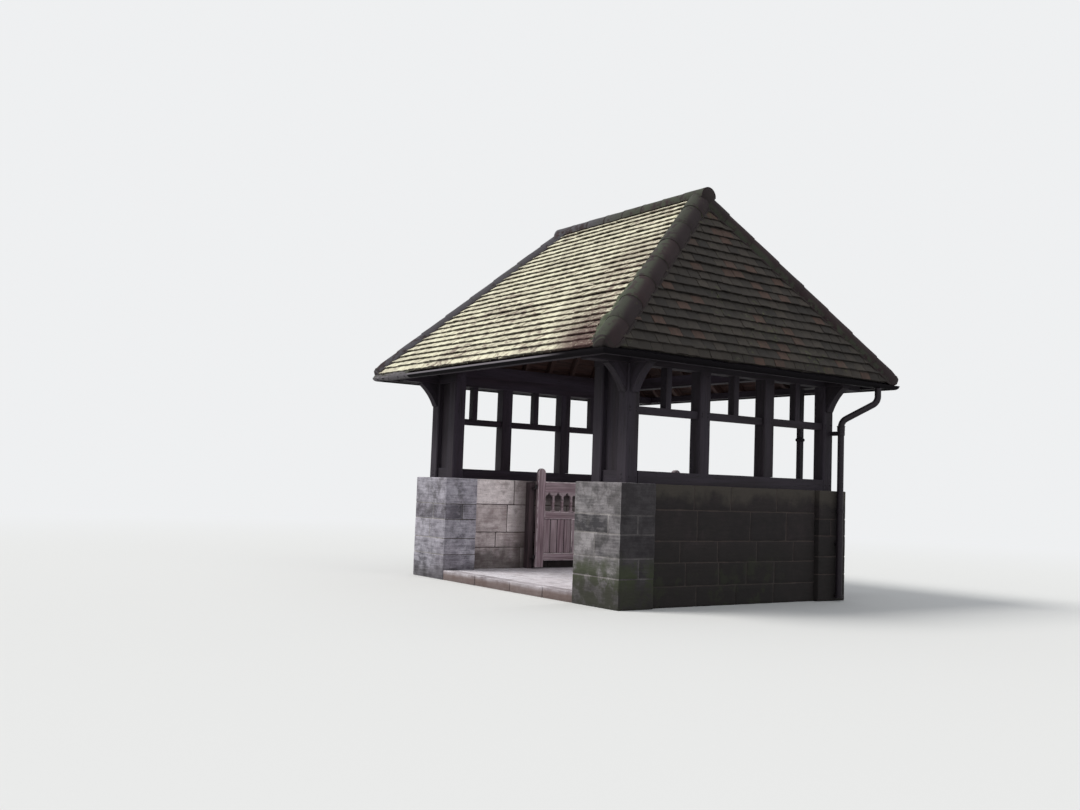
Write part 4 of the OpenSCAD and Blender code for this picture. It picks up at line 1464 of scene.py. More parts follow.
@dataclass
class Tiling:
    """Plain tiles on four slopes, the boards under them, hip and ridge covers and their bedding."""

    boards_finish: bpy.types.Material
    gauge: float = 0.1195
    first: float = 0.048
    overhang: float = 0.049
    tile_w: float = 0.165
    tile_t: float = 0.0155
    fall: float = 0.0235
    shown: float = 0.145
    droop: float = 0.023
    camber: float = 0.003
    deep: float = 0.1
    board_w: float = 0.155
    board_t: float = 0.018
    hip_radius: float = 0.139
    hip_over: float = 0.045
    ridge_radius: float = 0.1165
    shell: float = 0.014
    roof_edge: tuple[float, float] = (2.44, 2.285)
    ridge_half: float = 1.37
    eave_z: float = 2.69
    ridge_z: float = 4.79
    hip_sink: float = 0.09
    covers_a_line: int = 8
    cover_lap: float = 0.03
    clear_z: float = 2.607
    clear_soft: float = 0.03
    lips: tuple[float, float] = (2.4735, 2.3185)
    soft: float = 0.035
    ridge_rise: float = 0.06
    # The front and right slopes are a lit and a shaded copy: the front pale with lichen, the right browner and
    # darker, partly as painted shade.
    sunny: TileFinish = TileFinish(
        "lichened tile", paint(198, 184, 164), paint(132, 117, 106), paint(238, 234, 206), crusted=0.86, moss=0.12,
        litter=0.9, red=0.0,
    )
    shady: TileFinish = TileFinish(
        "brown_shaded tile", paint(70, 63, 56), paint(42, 38, 35), paint(86, 86, 72), crusted=0.3, moss=0.36, red=0.16
    )
    hidden: TileFinish = TileFinish(
        "mossy tile", paint(122, 102, 84), paint(75, 65, 55), paint(176, 170, 137), crusted=0.66, moss=0.36, red=0.3
    )
    # The covers: lichen on the side facing the front, the other side dark clay as painted shade.
    covers: TileFinish = TileFinish(
        "cover tile", paint(51, 35, 37), paint(35, 25, 28), paint(60, 65, 52), crusted=0.8, moss=0.3, red=0.0,
        crust_and_side_shade=1.0,
    )
    bedding: StoneFinish = StoneFinish(
        "bedding mortar", paint(50, 40, 39), paint(34, 27, 27), paint(42, 32, 32), soot=0.5, algae=0.2,
        damp_top=-1.0, grime=paint(34, 28, 28),
    )
    bank: MossFinish = MossFinish("hip moss", paint(58, 66, 46), paint(108, 116, 94))

    def __post_init__(self) -> None:
        """Describes the four slopes."""
        x, y = self.roof_edge
        rise = self.ridge_z - self.eave_z
        main = {"eave_half": x, "top_half": self.ridge_half, "run": y, "rise": rise, "eave_z": self.eave_z}
        hipped = {"eave_half": y, "top_half": 0.0, "run": x - self.ridge_half, "rise": rise, "eave_z": self.eave_z}
        self.slopes = [
            Slope("front", outward=(0, -1), **main).at(y), Slope("back", outward=(0, 1), **main).at(y),
            Slope("left", outward=(-1, 0), **hipped).at(x), Slope("right", outward=(1, 0), **hipped).at(x),
        ]

    def build(self) -> None:
        """Builds the roof covering."""
        shady, hidden = self.shady.material(), self.hidden.material()
        finishes = {"front": self.sunny.material(), "back": hidden, "left": hidden, "right": shady}
        boards = Mesh()
        for number, slope in enumerate(self.slopes):
            mesh = self.tiles(slope, number)
            place(mesh, f"tiles_{slope.name}", Slot.ROOF_TILE, finishes[slope.name], f"roof_{slope.name}")
            self.lay_boards(boards, slope, number)
        place(boards, "roof_boards", Slot.FRAME_OAK, self.boards_finish)
        hips, ridge, bedding = Mesh(), Mesh(), Mesh()
        self.hips(hips, bedding)
        self.ridge(ridge, bedding)
        covers = self.covers.material()
        place(hips, "hip_covers", Slot.COVER_TILE, covers, "hip_tiles")
        place(ridge, "ridge_covers", Slot.COVER_TILE, covers, "ridge_tiles")
        place(bedding, "cover_bedding", Slot.COVER_TILE, self.bedding.material())
        place(self.bank_moss(), "hip_moss", Slot.COVER_TILE, self.bank.material(), angle=180)

    def tiles(self, slope: Slope, number: int) -> Mesh:
        """Lays the tiles of one slope.

        Args:
            slope: the slope.
            number: picks the tiles' unevenness.

        Returns:
            The tiles.
        """
        rng = np.random.default_rng(700 + number)
        mesh = Mesh()
        courses = int((slope.length - 0.03 - self.first) / self.gauge) + 1
        tilt = self.fall / self.gauge
        for row in range(-1, courses):
            v0 = self.first + (row - 1) * self.gauge if row > 0 else (0.004 if row < 0 else 0.0) - self.overhang
            drop = -self.tile_t * 1.1 if row < 0 else 0.0
            length = min(self.shown, slope.length - v0)
            near, far = slope.half_width(v0, 0), slope.half_width(v0 + length, 0)
            if row <= 0:
                near, far = near - 0.12, far - 0.07
            start = (0.5 if row % 2 else 0.0) * self.tile_w + rng.normal(0, 0.012)
            marks = np.arange(-40, 41) * self.tile_w + start
            marks = marks[(marks > -far + 0.05) & (marks < far - 0.05)]
            bounds = [None, *(marks + rng.normal(0, 0.002, len(marks))), None]
            sag = rng.normal(0, 0.0015)
            for k in range(len(bounds) - 1):
                self.tile(mesh, slope, (bounds[k], bounds[k + 1]), (near, far), v0, length, tilt, drop + sag, rng)
        return mesh

    def tile(
        self, mesh: Mesh, slope: Slope, sides: tuple[float | None, float | None], reach: tuple[float, float],
        v0: float, length: float, tilt: float, drop: float, rng: np.random.Generator,
    ) -> None:
        """Adds one tile, cut to the hip where it meets it.

        Args:
            mesh: where it goes.
            slope: its slope.
            sides: its left and right sides, or None at a hip.
            reach: the slope's half width at its tail and at its head.
            v0: distance of its tail up the slope.
            length: its length as modelled.
            tilt: its own slope against the roof's.
            drop: how much lower than usual it lies.
            rng: the source of chance.
        """
        columns = 5
        tail, lift = v0 + rng.normal(0, 0.0036), rng.normal(0, 0.0022)
        twist, gap = rng.normal(0, 0.003), 0.0018
        thick = self.tile_t * rng.uniform(0.85, 1.15)
        left = [-r if sides[0] is None else sides[0] + gap for r in reach]
        right = [r if sides[1] is None else sides[1] - gap for r in reach]
        section = [(0.002, -thick), (0.0, -0.4 * thick), (0.004, 0.0), (0.06, 0.0)]
        bare = self.gauge if v0 > 0 else self.first - v0
        base = self.fall * 0.7
        if v0 <= 0:
            base, tilt = base - self.droop, tilt - self.droop / bare
        section += [(min(bare - 0.011, 0.9 * length), 0.0), (length, 0.0), (length, -thick)]
        rings = []
        chips = rng.normal(0, 0.0018, columns)
        for c in range(columns):
            t = c / (columns - 1)
            bow = self.camber * (1 - (2 * t - 1) ** 2)
            ring = []
            for v, n in section:
                share = v / length
                tail_u, head_u = (a + t * (b - a) for a, b in zip(left, right))
                u = (1 - share) * tail_u + share * head_u
                chip = chips[c] * (1 - share)
                height = base + n - v * tilt + bow + drop + (lift + twist * (t - 0.5)) * (1 - share)
                ring.append((u, tail + v + chip, height))
            rings.append(placed(np.array(ring), slope.matrix))
        # The edge values mark the tail, the underside and the strip under the next course's tail, which the finish
        # draws dark as painted shade with some dirt.
        mesh.sweep(rings[::-1], tone=float(rng.uniform()), edge=(1.0, 1.0, 0.0, 0.0, 0.9, 0.0, 1.0))

    def lay_boards(self, mesh: Mesh, slope: Slope, number: int) -> None:
        """Lays the boards under one slope and the fillet along its eave.

        Args:
            mesh: where they go.
            slope: the slope.
            number: picks their unevenness.
        """
        bottom = -self.deep * slope.inward
        top = bottom + self.board_t
        rng = np.random.default_rng(900 + number)
        end = (slope.run + bottom * slope.climb) / slope.inward
        count = int(end / self.board_w)
        for k in range(count + 1):
            v0, v1 = k * self.board_w + 0.002, min((k + 1) * self.board_w - 0.002, end - 0.004)
            if v1 - v0 < 0.02:
                continue
            half = float(slope.half_width((v0 + v1) / 2, bottom))
            if half < 0.06:
                continue
            mesh.block(
                (-half, v0, bottom), (half, v1, top), radius=0.002, cells=(max(1, int(half / 0.3)), 1, 1),
                tone=float(rng.uniform()), rough=0.0008, size=0.3, seed=int(rng.integers(1, 9999)),
                matrix=slope.matrix, shape=slope.mitre(half),
            )
        half = float(slope.half_width(0.06, top))
        mesh.block(
            (-half, 0.045, top), (half, 0.08, -self.tile_t * 1.6), radius=0.003, cells=(12, 1, 1), tone=0.3,
            rough=0.001, seed=number + 1, matrix=slope.matrix, shape=slope.mitre(half),
        )

    def arc(self, radius: float, half_turn: float, steps: int) -> np.ndarray:
        """An arc over the top, as sideways and upward places.

        Args:
            radius: its radius.
            half_turn: degrees to either side of the top.
            steps: its number of pieces.

        Returns:
            The places.
        """
        angle = np.radians(np.linspace(-half_turn, half_turn, steps + 1))
        return np.stack([radius * np.sin(angle), radius * np.cos(angle)], axis=1)

    def cover(
        self, mesh: Mesh, matrix: np.ndarray, start: float, end: float, radii: tuple[float, float], tone: float,
        seed: int, half_turn: float = 96.0,
    ) -> None:
        """Adds one half-round cover tile.

        Args:
            mesh: where it goes.
            matrix: placement with X along the line of covers and Z outward.
            start, end: where it starts and ends along that line.
            radii: its radius at its start and at its end.
            tone: its shade.
            seed: picks its unevenness.
            half_turn: degrees that it reaches to either side.
        """
        rings = []
        for t in (0.0, 0.02, 0.35, 0.7, 1.0):
            radius = radii[0] + t * (radii[1] - radii[0]) - (0.004 if t == 0.0 else 0.0)
            outer, inner = self.arc(radius, half_turn, 14), self.arc(radius - self.shell, half_turn, 14)[::-1]
            ring = ring_at(start + t * (end - start), np.concatenate([outer, inner]))
            rings.append(self.clear(wobble(placed(ring, matrix), 0.12, 0.003, seed)))
        mesh.sweep(rings[::-1], tone=tone)

    def clear(self, ring: np.ndarray) -> np.ndarray:
        """Draws places in behind the gutters' lips and over their rims, the more the further out they are.

        Args:
            ring: the places.

        Returns:
            The drawn places, with their order kept.
        """
        kept = ring.copy()
        for axis, lip in enumerate(self.lips):
            far = np.abs(ring[:, axis])
            over = np.maximum(far - lip + self.soft, 0.0)
            drawn = np.minimum(far, lip - self.soft) + self.soft * (1 - np.exp(-over / self.soft))
            kept[:, axis] = np.sign(ring[:, axis]) * drawn
        level, soft = self.clear_z + self.clear_soft, self.clear_soft
        under = np.maximum(level - ring[:, 2], 0.0)
        kept[:, 2] = np.maximum(ring[:, 2], level) - soft * (1 - np.exp(-under / soft))
        return kept

    def hips(self, cover: Mesh, bedding: Mesh) -> None:
        """Lays the covers of the four hips, bedded in mortar and closed at the eave.

        Args:
            cover: where the covers go.
            bedding: where the mortar goes.
        """
        x, y = self.roof_edge
        front, back, left, right = (slope.matrix[:3, 2] for slope in self.slopes)
        count = self.covers_a_line
        for number, (sx, sy) in enumerate(((1, -1), (-1, -1), (1, 1), (-1, 1))):
            foot, top = np.array([sx * x, sy * y, self.eave_z]), np.array([sx * self.ridge_half, 0.0, self.ridge_z])
            length = float(np.linalg.norm(top - foot))
            outward = (front if sy < 0 else back) + (left if sx < 0 else right)
            outward /= np.linalg.norm(outward)
            matrix = frame_matrix(foot - self.hip_sink * outward, (top - foot) / length, outward)
            rng = np.random.default_rng(40 + number)
            step = (length + self.hip_over) / count
            for k in range(count):
                start = k * step - self.hip_over
                lip = self.hip_radius - rng.uniform(0, 0.003)
                tone = float(rng.uniform(0.1, 0.9))
                end = start + step + self.cover_lap
                self.cover(cover, matrix, start, end, (lip, lip - 0.009), tone, 50 * number + k, 92.0)
            self.bead(bedding, matrix, 0.02, length, number)
            self.end_disc(bedding, matrix, 70 + number)

    def bead(self, mesh: Mesh, matrix: np.ndarray, start: float, end: float, number: int) -> None:
        """Adds the ragged mortar along both sides of a line of hip covers.

        Args:
            mesh: where it goes.
            matrix: placement of the line.
            start, end: where it starts and ends.
            number: picks its unevenness.
        """
        local = matrix[:3, :3].T
        for slope in self.slopes:
            normal = local @ slope.matrix[:3, 2]
            if abs(normal[0]) > 1e-3:
                continue
            trace = np.array([normal[2], -normal[1]]) if normal[1] > 0 else np.array([-normal[2], normal[1]])
            origin = np.array([0.0, self.hip_sink])
            along = trace @ origin
            reach = -along + math.sqrt(along**2 - origin @ origin + (self.hip_radius - 0.006) ** 2)
            centre = origin + trace * reach
            count = int((end - start) / 0.06)
            ring_angle = np.arange(8) * math.pi / 4
            rings = []
            for k in range(count + 1):
                x = start + (end - start) * k / count
                ring = ring_at(x, circle(0.016, ring_angle) + centre)
                rings.append(self.clear(wobble(placed(ring, matrix), 0.08, 0.007, 300 + number)))
            mesh.sweep(rings, tone=0.5)

    def end_disc(self, mesh: Mesh, matrix: np.ndarray, seed: int) -> None:
        """Fills the open foot of a hip with a disc of mortar.

        Args:
            mesh: where it goes.
            matrix: placement of the hip.
            seed: picks its unevenness.
        """
        rings = []
        for share, x in ((1.0, 0.06), (1.0, 0.004), (0.96, -0.002), (0.6, -0.005), (0.15, -0.006)):
            radius = (self.hip_radius - 0.006) * share
            outline = self.arc(radius, 92, 14)
            low = [(0.8, -0.24), (0.4, -0.42), (0.0, -0.47), (-0.4, -0.42), (-0.8, -0.24)]
            outline = np.concatenate([outline, radius * np.array(low)])
            ring = ring_at(x - self.hip_over, outline)
            rings.append(self.clear(wobble(placed(ring, matrix), 0.05, 0.0015, seed)))
        mesh.sweep(rings, tone=0.8)

    def bank_moss(self) -> Mesh:
        """The moss bank on the front slope beside the right hip, thickest at its foot.

        Returns:
            The moss.
        """
        mesh = Mesh()
        slope = self.slopes[0]
        count = 84
        for row in range(2):
            rings = []
            for k in range(count + 1):
                share = k / count
                v = 0.035 + 1.78 * share
                edge = float(slope.half_width(v, 0)) - 0.115
                lump = float(lattice_noise(np.array([[edge, v, 0.4 + row]]), 0.13, 33)[0])
                wide = (0.105 - 0.05 * share - 0.03 * row) * (0.75 + 0.5 * lump)
                high = (0.064 - 0.03 * share - 0.014 * row) * (0.7 + 0.6 * lump)
                high *= min(1.0, 6 * share + 0.4, 5 * (1 - share) + 0.1)
                middle = edge - 0.03 - row * 0.05
                turn = np.linspace(0, math.pi, 9)
                ring = np.stack(
                    [middle + wide * np.cos(turn), np.full(9, v), high * np.sin(turn) ** 0.8 - 0.012], axis=1
                )
                under = np.array([[middle - 0.5 * wide, v, -0.02], [middle + 0.5 * wide, v, -0.02]])
                flat = placed(np.concatenate([ring, under]), slope.matrix)
                rings.append(self.clear(wobble(wobble(flat, 0.05, 0.009, 34 + row), 0.02, 0.004, 37 + row)))
            mesh.sweep(rings[::-1], tone=0.5)
        return mesh

    def ridge(self, cover: Mesh, bedding: Mesh) -> None:
        """Lays the ridge covers, their joints and the mortar at both ends.

        Args:
            cover: where the covers go.
            bedding: where the mortar goes.
        """
        z = self.ridge_z + self.ridge_rise - self.ridge_radius
        end = self.ridge_half + self.ridge_radius
        matrix = frame_matrix((-end, 0, z), (1, 0, 0), UP)
        rng = np.random.default_rng(61)
        count = self.covers_a_line
        for k in range(count):
            start, stop = k * 2 * end / count + 0.004, (k + 1) * 2 * end / count - 0.004
            radius = self.ridge_radius - rng.uniform(0.001, 0.004)
            self.cover(cover, matrix, start, stop, (radius, radius - 0.002), float(rng.uniform(0.1, 0.9)), 400 + k)
            if k:
                rings = []
                for x, r in ((-0.016, 0.105), (-0.009, 0.1155), (0.009, 0.1155), (0.016, 0.105)):
                    outline = np.concatenate([self.arc(r, 92, 12), self.arc(0.09, 92, 12)[::-1]])
                    ring = ring_at(start - 0.004 + x, outline)
                    rings.append(wobble(placed(ring, matrix), 0.05, 0.002, 430 + k))
                bedding.sweep(rings[::-1], tone=0.4)
        for side in (-1, 1):
            profile = [(0.02, -0.006), (0.08, -0.004), (0.108, 0.01), (0.112, 0.04)]
            at = frame_matrix((side * end, 0, z), UP, (-side, 0, 0))
            bedding.turned(profile, at, tone=0.6, sides=24)


# Rainwater goods


@dataclass
class Rainwater:
    """Gutter joints and brackets, the collars of the downpipe and the moss in the gutters."""

    radius: float = 0.05
    lip: tuple[float, float] = (2.475, 2.32)
    rim_z: float = 2.606
    pipe: tuple[float, float] = (2.19, 1.588)
    pipe_r: float = 0.038
    heaps: tuple[tuple[float, float, float], ...] = ((-0.046, 0.93, 0.08),)
    # The gutters: dark paint drawn near-black as painted shade, with a painted highlight along their upper band.
    iron: IronFinish = IronFinish(
        "shade_darkened gutter paint", paint(16, 12, 17), rust=0.12, roughness=0.8, gloss=0.12, rim=2.59,
        rim_light_and_lichen=paint(142, 136, 142), green_left=-1.5, growth=paint(116, 112, 116),
    )
    pipe_paint: IronFinish = IronFinish("dark pipe paint", paint(36, 27, 36), rust=0.2)
    moss: MossFinish = MossFinish("gutter moss", paint(84, 86, 74), paint(134, 128, 134))

    def build(self) -> None:
        """Builds the rainwater goods."""
        iron, dark = self.iron.material(), self.pipe_paint.material()
        dress(iron, "gutters")
        dress(dark, "downpipe", "pipe_clips")
        place(self.joints(), "gutter_joints", Slot.IRON, iron)
        place(self.collars(), "pipe_collars", Slot.IRON, dark)
        place(self.cushions(), "gutter_moss", Slot.IRON, self.moss.material(), angle=180)

    def runs(self) -> list[tuple[np.ndarray, np.ndarray, float]]:
        """Start, direction and length of each gutter along its middle."""
        x, y = (v - self.radius for v in self.lip)
        return [
            (np.array([-x, -y, self.rim_z]), np.array([1.0, 0, 0]), 2 * x),
            (np.array([x, -y, self.rim_z]), np.array([0, 1.0, 0]), 2 * y),
            (np.array([x, y, self.rim_z]), np.array([-1.0, 0, 0]), 2 * x),
            (np.array([-x, y, self.rim_z]), np.array([0, -1.0, 0]), 2 * y),
        ]

    def joints(self) -> Mesh:
        """Sleeves round the gutters' joints and hooks under them.

        Returns:
            The sleeves and hooks.
        """
        mesh = Mesh()
        for start, direction, length in self.runs():
            matrix = frame_matrix(start, direction, UP)
            sleeves = [length * share for share in (0.34, 0.67)]
            hooks = np.arange(0.35, length - 0.3, 0.72)
            for centre, half, thick in [(s, 0.032, 0.0025) for s in sleeves] + [(h, 0.012, 0.004) for h in hooks]:
                angle = np.linspace(-math.pi, 0, 15)
                rings = []
                for x in (centre - half, centre + half):
                    outer, inner = self.radius - 0.0002, self.radius - 0.0052 - thick
                    outline = np.concatenate([circle(outer, angle), circle(inner, angle)[::-1]])
                    rings.append(placed(ring_at(x, outline), matrix))
                mesh.sweep(rings, tone=0.5)
        return mesh

    def collars(self) -> Mesh:
        """Socket collars on the downpipe and a shoe ring at its foot.

        Returns:
            The collars.
        """
        mesh = Mesh()
        r = self.pipe_r
        for z, tall in ((0.06, 0.035), (1.06, 0.04), (2.05, 0.066)):
            profile = [
                (r, -0.5 * tall), (r + 0.008, -0.46 * tall), (r + 0.008, 0.3 * tall), (r + 0.012, 0.34 * tall),
                (r + 0.012, 0.46 * tall), (r, 0.5 * tall),
            ]
            at = frame_matrix((*self.pipe, z), (1, 0, 0), UP)
            mesh.turned(profile, at, tone=0.5, sides=24)
        return mesh

    def cushions(self) -> Mesh:
        """Moss and dirt in the gutters, heaped up to the tiles at the front left.

        Returns:
            The moss.
        """
        mesh = Mesh()
        for number, (start, direction, length) in enumerate(self.runs()):
            matrix = frame_matrix(start, direction, UP)
            count = int(length / 0.03)
            rings = []
            for k in range(count + 1):
                x = k * length / count
                here = placed(np.array([[x, 0.0, 0.0]]), matrix)
                heap = 0.5 + 0.5 * float(lattice_noise(here, 0.28, 21 + number)[0])
                depth = -0.034 + 0.014 * heap
                angle = np.linspace(-math.pi + 0.55, -0.55, 7)
                bowl = circle(0.0445, angle)
                top = np.array([[0.03, depth], [0.0, depth + 0.006], [-0.03, depth]])
                ring = ring_at(x, np.concatenate([bowl, top]))
                rings.append(wobble(placed(ring, matrix), 0.02, 0.0025, 80 + number))
            mesh.sweep(rings, tone=0.5)
        for low, high, tall in self.heaps:
            self.heap(mesh, low, high, tall)
        return mesh

    def heap(self, mesh: Mesh, low: float, high: float, tall: float) -> None:
        """Adds a bank that stands above the front gutter.

        Args:
            mesh: where it goes.
            low, high: where it starts and ends along the gutter.
            tall: its height.
        """
        start, direction = self.runs()[0][:2]
        matrix = frame_matrix(start, direction, UP)
        count = 46
        rings = []
        for k in range(count + 1):
            share = k / count
            x = low + (high - low) * share
            lump = 0.5 + 0.5 * float(lattice_noise(placed(np.array([[x, 0.0, 0.3]]), matrix), 0.1, 91)[0])
            swell = (0.6 + 0.4 * lump) * min(1.0, 9 * share + 0.9, 22 * (1 - share) + 0.3)
            turn = np.linspace(0.0, math.pi, 11)
            top = np.stack([0.046 * np.cos(turn), -0.014 + tall * swell * np.sin(turn) ** 0.7], axis=1)
            ring = ring_at(x, np.concatenate([top, [[-0.034, -0.022], [0.034, -0.022]]]))
            rings.append(wobble(wobble(placed(ring, matrix), 0.045, 0.01, 92), 0.018, 0.006, 93))
        mesh.sweep(rings[::-1], tone=0.5)


# Gates


@dataclass
class Gates:
    """The pair of gate leaves, their posts, straps and nails."""

    boards: int = 4
    board_gap: float = 0.0008
    arris: float = 0.006
    uneven: float = 0.0008
    pin_x: float = 1.338
    pin_y: float = 0.362
    leaf_t: float = 0.05
    stile: tuple[float, ...] = (0.02, 0.142, 0.14, 1.475)
    top_rail: tuple[float, ...] = (1.158, 1.284, 1.3)
    bars: tuple[tuple[float, ...], ...] = (
        (1.203, 1.333, 0.232, 1.158, 2), (0.142, 1.203, 0.232, 0.33, 1), (0.142, 1.203, 0.792, 0.89, 1),
        (0.6075, 0.7375, 0.33, 0.792, 2),
    )
    nail: float = 0.011
    # Painted highlight with wear: the gate's arrises are drawn near-white, as the light catching its edges; its oak
    # is drawn pale, partly as painted light in the passage.
    finish: OakFinish = OakFinish(
        "gate oak", paint(107, 87, 93), paint(160, 139, 147), paint(224, 212, 214), silvering=0.2, wear_and_sheen=0.85,
        dust=0.8,
    )
    post_finish: OakFinish = OakFinish(
        "gate post oak", paint(44, 34, 38), paint(82, 66, 70), paint(104, 94, 98), silvering=0.2, wear_and_sheen=0.4
    )
    iron: IronFinish = IronFinish("blackened iron", paint(40, 36, 40), rust=0.35, roughness=0.5)

    def build(self) -> None:
        """Builds both leaves and what carries them."""
        oak, post, iron = self.finish.material(), self.post_finish.material(), self.iron.material()
        mesh = Mesh()
        mesh.carve("gate_posts", width=0.006, cell=0.25, rough=0.0015, seed=71)
        place(mesh, "oak_gate_posts", Slot.GATE_OAK, post, "gate_posts")
        dress(iron, "gate_pins", "gate_left_straps", "gate_right_straps")
        for number, body in enumerate((Body.GATE_LEFT, Body.GATE_RIGHT)):
            name = body.value
            leaf, arcade = Mesh(), Mesh()
            self.members(leaf, number)
            place(leaf, f"oak_{name}_frame", Slot.GATE_OAK, oak, f"{name}_frame", body=body)
            arcade.carve(f"{name}_tracery", width=0.0035, cell=5.0, rough=0.0, seed=90 + number)
            place(arcade, f"oak_{name}_tracery", Slot.GATE_OAK, oak, f"{name}_tracery", body=body)
            boards = self.panels(f"{name}_boards", number)
            place(boards, f"oak_{name}_boards", Slot.GATE_OAK, oak, f"{name}_boards", body=body)
            place(self.nails(f"{name}_straps"), f"{name}_nails", Slot.GATE_IRON, iron, body=body)

    def members(self, mesh: Mesh, number: int) -> None:
        """The stiles, rails and muntin of one leaf, each with its own grain.

        Args:
            mesh: where they go.
            number: 0 for the left leaf, 1 for the right one.
        """
        rng = np.random.default_rng(60 + number)
        axis = self.pin_x if number else -self.pin_x
        half = self.leaf_t / 2
        for u0, u1, z0, z1, along in self.bars:
            cells = (1, max(2, int((u1 - u0) / 0.2)), max(2, int((z1 - z0) / 0.2)))
            mesh.block(
                (axis - half, u0 - self.pin_y, z0), (axis + half, u1 - self.pin_y, z1), radius=self.arris,
                cells=cells, tone=float(rng.uniform(0.2, 0.8)), rough=self.uneven, size=0.25,
                seed=int(rng.integers(1, 9999)), along=along,
            )
        u0, u1, foot, head = self.stile
        radius = (u1 - u0) / 2
        rings = []
        inner = half - self.arris
        for x, inset in ((-half, self.arris), (-inner, 0.0), (inner, 0.0), (half, self.arris)):
            r = radius - inset
            turn = np.linspace(0, math.pi, 13)
            arch = np.stack([r * np.cos(turn), r * np.sin(turn) + head - radius], axis=1)
            heights = (1.1, 0.8, 0.45, foot + inset)
            sides = [[-r, z] for z in heights] + [[r, z] for z in heights[::-1]]
            ring = ring_at(axis + x, np.concatenate([arch, sides]))
            ring[:, 1] = ring[:, 1] + (u0 + u1) / 2 - self.pin_y
            rings.append(wobble(ring, 0.25, self.uneven, 66 + number))
        # The edge values mark the stile's arrises, which the gate finish draws pale as wear and painted highlight.
        mesh.sweep(rings, tone=0.35, edge=[[1.0], [0.0], [1.0]], along=2)
        low, shoulder, top = self.top_rail
        third = half / 3
        shape = [(-half, low), (half, low), (half, shoulder), (third, top), (-third, top), (-half, shoulder)]
        rings = [
            np.array([(axis + x, u - self.pin_y, z) for x, z in shape]) for u in np.linspace(u1, self.bars[0][1], 8)
        ]
        rings = [wobble(ring, 0.25, self.uneven, 68 + number) for ring in rings]
        # The edge values mark the top rail's upper arrises, which the gate finish draws pale as wear and painted
        # highlight.
        mesh.sweep(rings[::-1], tone=0.5, edge=(0.0, 0.0, 0.8, 0.3, 0.8, 0.0), along=1)

    def panels(self, node: str, number: int) -> Mesh:
        """The upright boards in the lower bays.

        Args:
            node: their CAD node.
            number: picks their unevenness.

        Returns:
            The boards.
        """
        mesh = Mesh()
        rng = np.random.default_rng(95 + number)
        for low, high in solid_boxes(node):
            width = (high[1] - low[1]) / self.boards
            for k in range(self.boards):
                start = np.array([low[0], low[1] + k * width + self.board_gap, low[2]])
                end = np.array([high[0], low[1] + (k + 1) * width - self.board_gap, high[2]])
                mesh.block(
                    start, end, radius=0.005, cells=(1, 2, 5), tone=float(rng.uniform()), rough=self.uneven,
                    size=0.2, seed=int(rng.integers(1, 9999)), along=2, rim=-1.0,
                )
        return mesh

    def nails(self, node: str) -> Mesh:
        """Nail heads along the straps of one leaf.

        Args:
            node: the straps' CAD node.

        Returns:
            The nail heads.
        """
        mesh = Mesh()
        r = self.nail
        shape = [(0.0, -0.004), (r, -0.004), (r, 0.001), (r * 0.6, 0.005), (0.0, 0.006)]
        for low, high in solid_boxes(node):
            outward = -1.0 if low[0] < 0 else 1.0
            face = high[0] if outward > 0 else low[0]
            z = (low[2] + high[2]) / 2
            for y in np.linspace(low[1] + 0.09, high[1] - 0.03, 5):
                mesh.turned(shape, frame_matrix((face, y, z), UP, (outward, 0, 0)), tone=0.5, sides=8)
        return mesh


# Camera, lamps and floor


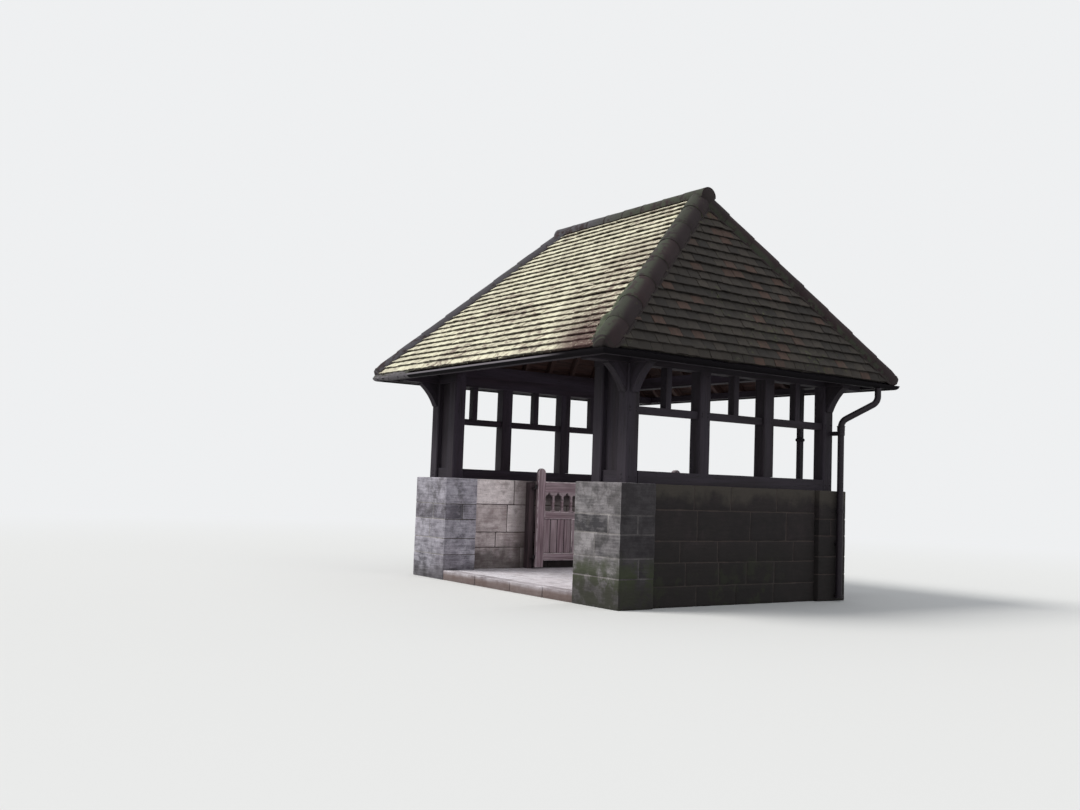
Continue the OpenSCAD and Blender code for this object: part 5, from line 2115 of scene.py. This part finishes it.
@dataclass(frozen=True)
class Studio:
    """The view, the lamps and the pale floor."""

    place: tuple[float, float, float] = (10.670, -8.860, 1.227)
    yaw: float = 54.668
    pitch: float = 4.312
    roll: float = 2.063
    lens: float = 36.08
    background: Colour = (0.86, 0.87, 0.88)
    floor_reach: float = 60.0
    floor_shown: Colour = (0.78, 0.78, 0.77)
    floor_bounced: Colour = (0.45, 0.45, 0.44)
    floor_fade: tuple[float, float] = (7.0, 22.0)

    def build(self) -> None:
        """Sets the studio up."""
        scene = bpy.context.scene
        scene.view_settings.view_transform = "Standard"
        self.camera()
        self.lamps()
        self.floor()

    def camera(self) -> None:
        """Adds the camera at the photograph's own view."""
        yaw, pitch, roll = (math.radians(a) for a in (self.yaw, self.pitch, self.roll))
        ahead = Vector((-math.sin(yaw) * math.cos(pitch), math.cos(yaw) * math.cos(pitch), math.sin(pitch)))
        right = Vector((math.cos(yaw), math.sin(yaw), 0.0))
        up = right.cross(ahead)
        x = math.cos(roll) * right + math.sin(roll) * up
        y = -math.sin(roll) * right + math.cos(roll) * up
        data = bpy.data.cameras.new("camera")
        data.sensor_width, data.lens, data.clip_end = 36.0, self.lens, 300.0
        camera = linked("camera", data)
        matrix = Matrix((x, y, -ahead)).transposed().to_4x4()
        matrix.translation = self.place
        camera.matrix_world = matrix
        bpy.context.scene.camera = camera

    def lamps(self) -> None:
        """Adds a soft key from the front left, a fill in the passage and an even sky."""
        key = self.lamp("key", "SUN", 2.1, (0.0, 0.0, 8.0), (0.45, 0.72, -0.95))
        key.data.angle, key.data.color = math.radians(24), (1.0, 0.98, 0.94)
        fill = self.lamp("fill", "AREA", 26.0, (1.1, -0.3, 2.25), (-2.0, -0.1, -1.1))
        fill.data.shape, fill.data.size, fill.data.size_y = "RECTANGLE", 2.2, 0.8
        fill.visible_camera = fill.visible_glossy = False
        world = bpy.data.worlds.new("sky")
        bpy.context.scene.world = world
        g = cleared(world)
        light = g.node("ShaderNodeBackground", Color=(0.93, 0.96, 1.0), Strength=0.6)
        seen = g.node("ShaderNodeBackground", Color=self.background, Strength=1.0)
        paths = g.node("ShaderNodeLightPath")
        direct = g.math("MAXIMUM", paths.outputs["Is Camera Ray"], paths.outputs["Is Glossy Ray"])
        g.show("ShaderNodeOutputWorld", direct, light, seen)

    def lamp(
        self, name: str, kind: str, energy: float, place: Sequence[float], aim: Sequence[float]
    ) -> bpy.types.Object:
        """Adds one lamp.

        Args:
            name: its name.
            kind: its kind.
            energy: its strength.
            place: where it stands.
            aim: the way that it shines.

        Returns:
            The lamp.
        """
        data = bpy.data.lights.new(name, kind)
        data.energy = energy
        lamp = linked(name, data)
        lamp.location = place
        lamp.rotation_mode = "QUATERNION"
        lamp.rotation_quaternion = Vector(aim).to_track_quat("-Z", "Y")
        return lamp

    def floor(self) -> None:
        """Adds the pale floor, which fades into the background."""
        mesh = bpy.data.meshes.new("floor")
        bm = bmesh.new()
        bmesh.ops.create_circle(bm, cap_ends=True, radius=self.floor_reach, segments=64)
        bm.to_mesh(mesh)
        bm.free()
        floor = linked("floor", mesh)
        material = bpy.data.materials.new("pale floor")
        g = cleared(material)
        direct = g.node("ShaderNodeLightPath").outputs["Is Camera Ray"]
        lit = g.node("ShaderNodeBsdfDiffuse", Color=g.mix(direct, self.floor_bounced, self.floor_shown))
        plain = g.node("ShaderNodeEmission", Color=self.background, Strength=1.0)
        away = g.node("ShaderNodeVectorMath", {"operation": "LENGTH"})
        g.feed(away.inputs[0], g.coordinates())
        far = g.step(away.outputs["Value"], *self.floor_fade)
        g.show("ShaderNodeOutputMaterial", g.times(far, direct), lit, plain)
        mesh.materials.append(material)


def write_sizes() -> None:
    """Updates the view layer."""
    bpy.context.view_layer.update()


def main() -> None:
    """Builds everything in order."""
    logging.basicConfig(level=logging.INFO, format="%(name)s: %(message)s")
    Studio().build()
    Stonework().build()
    inside = OakFrame().build()
    Tiling(inside).build()
    Rainwater().build()
    Gates().build()
    write_sizes()


if __name__ == "__main__":
    main()
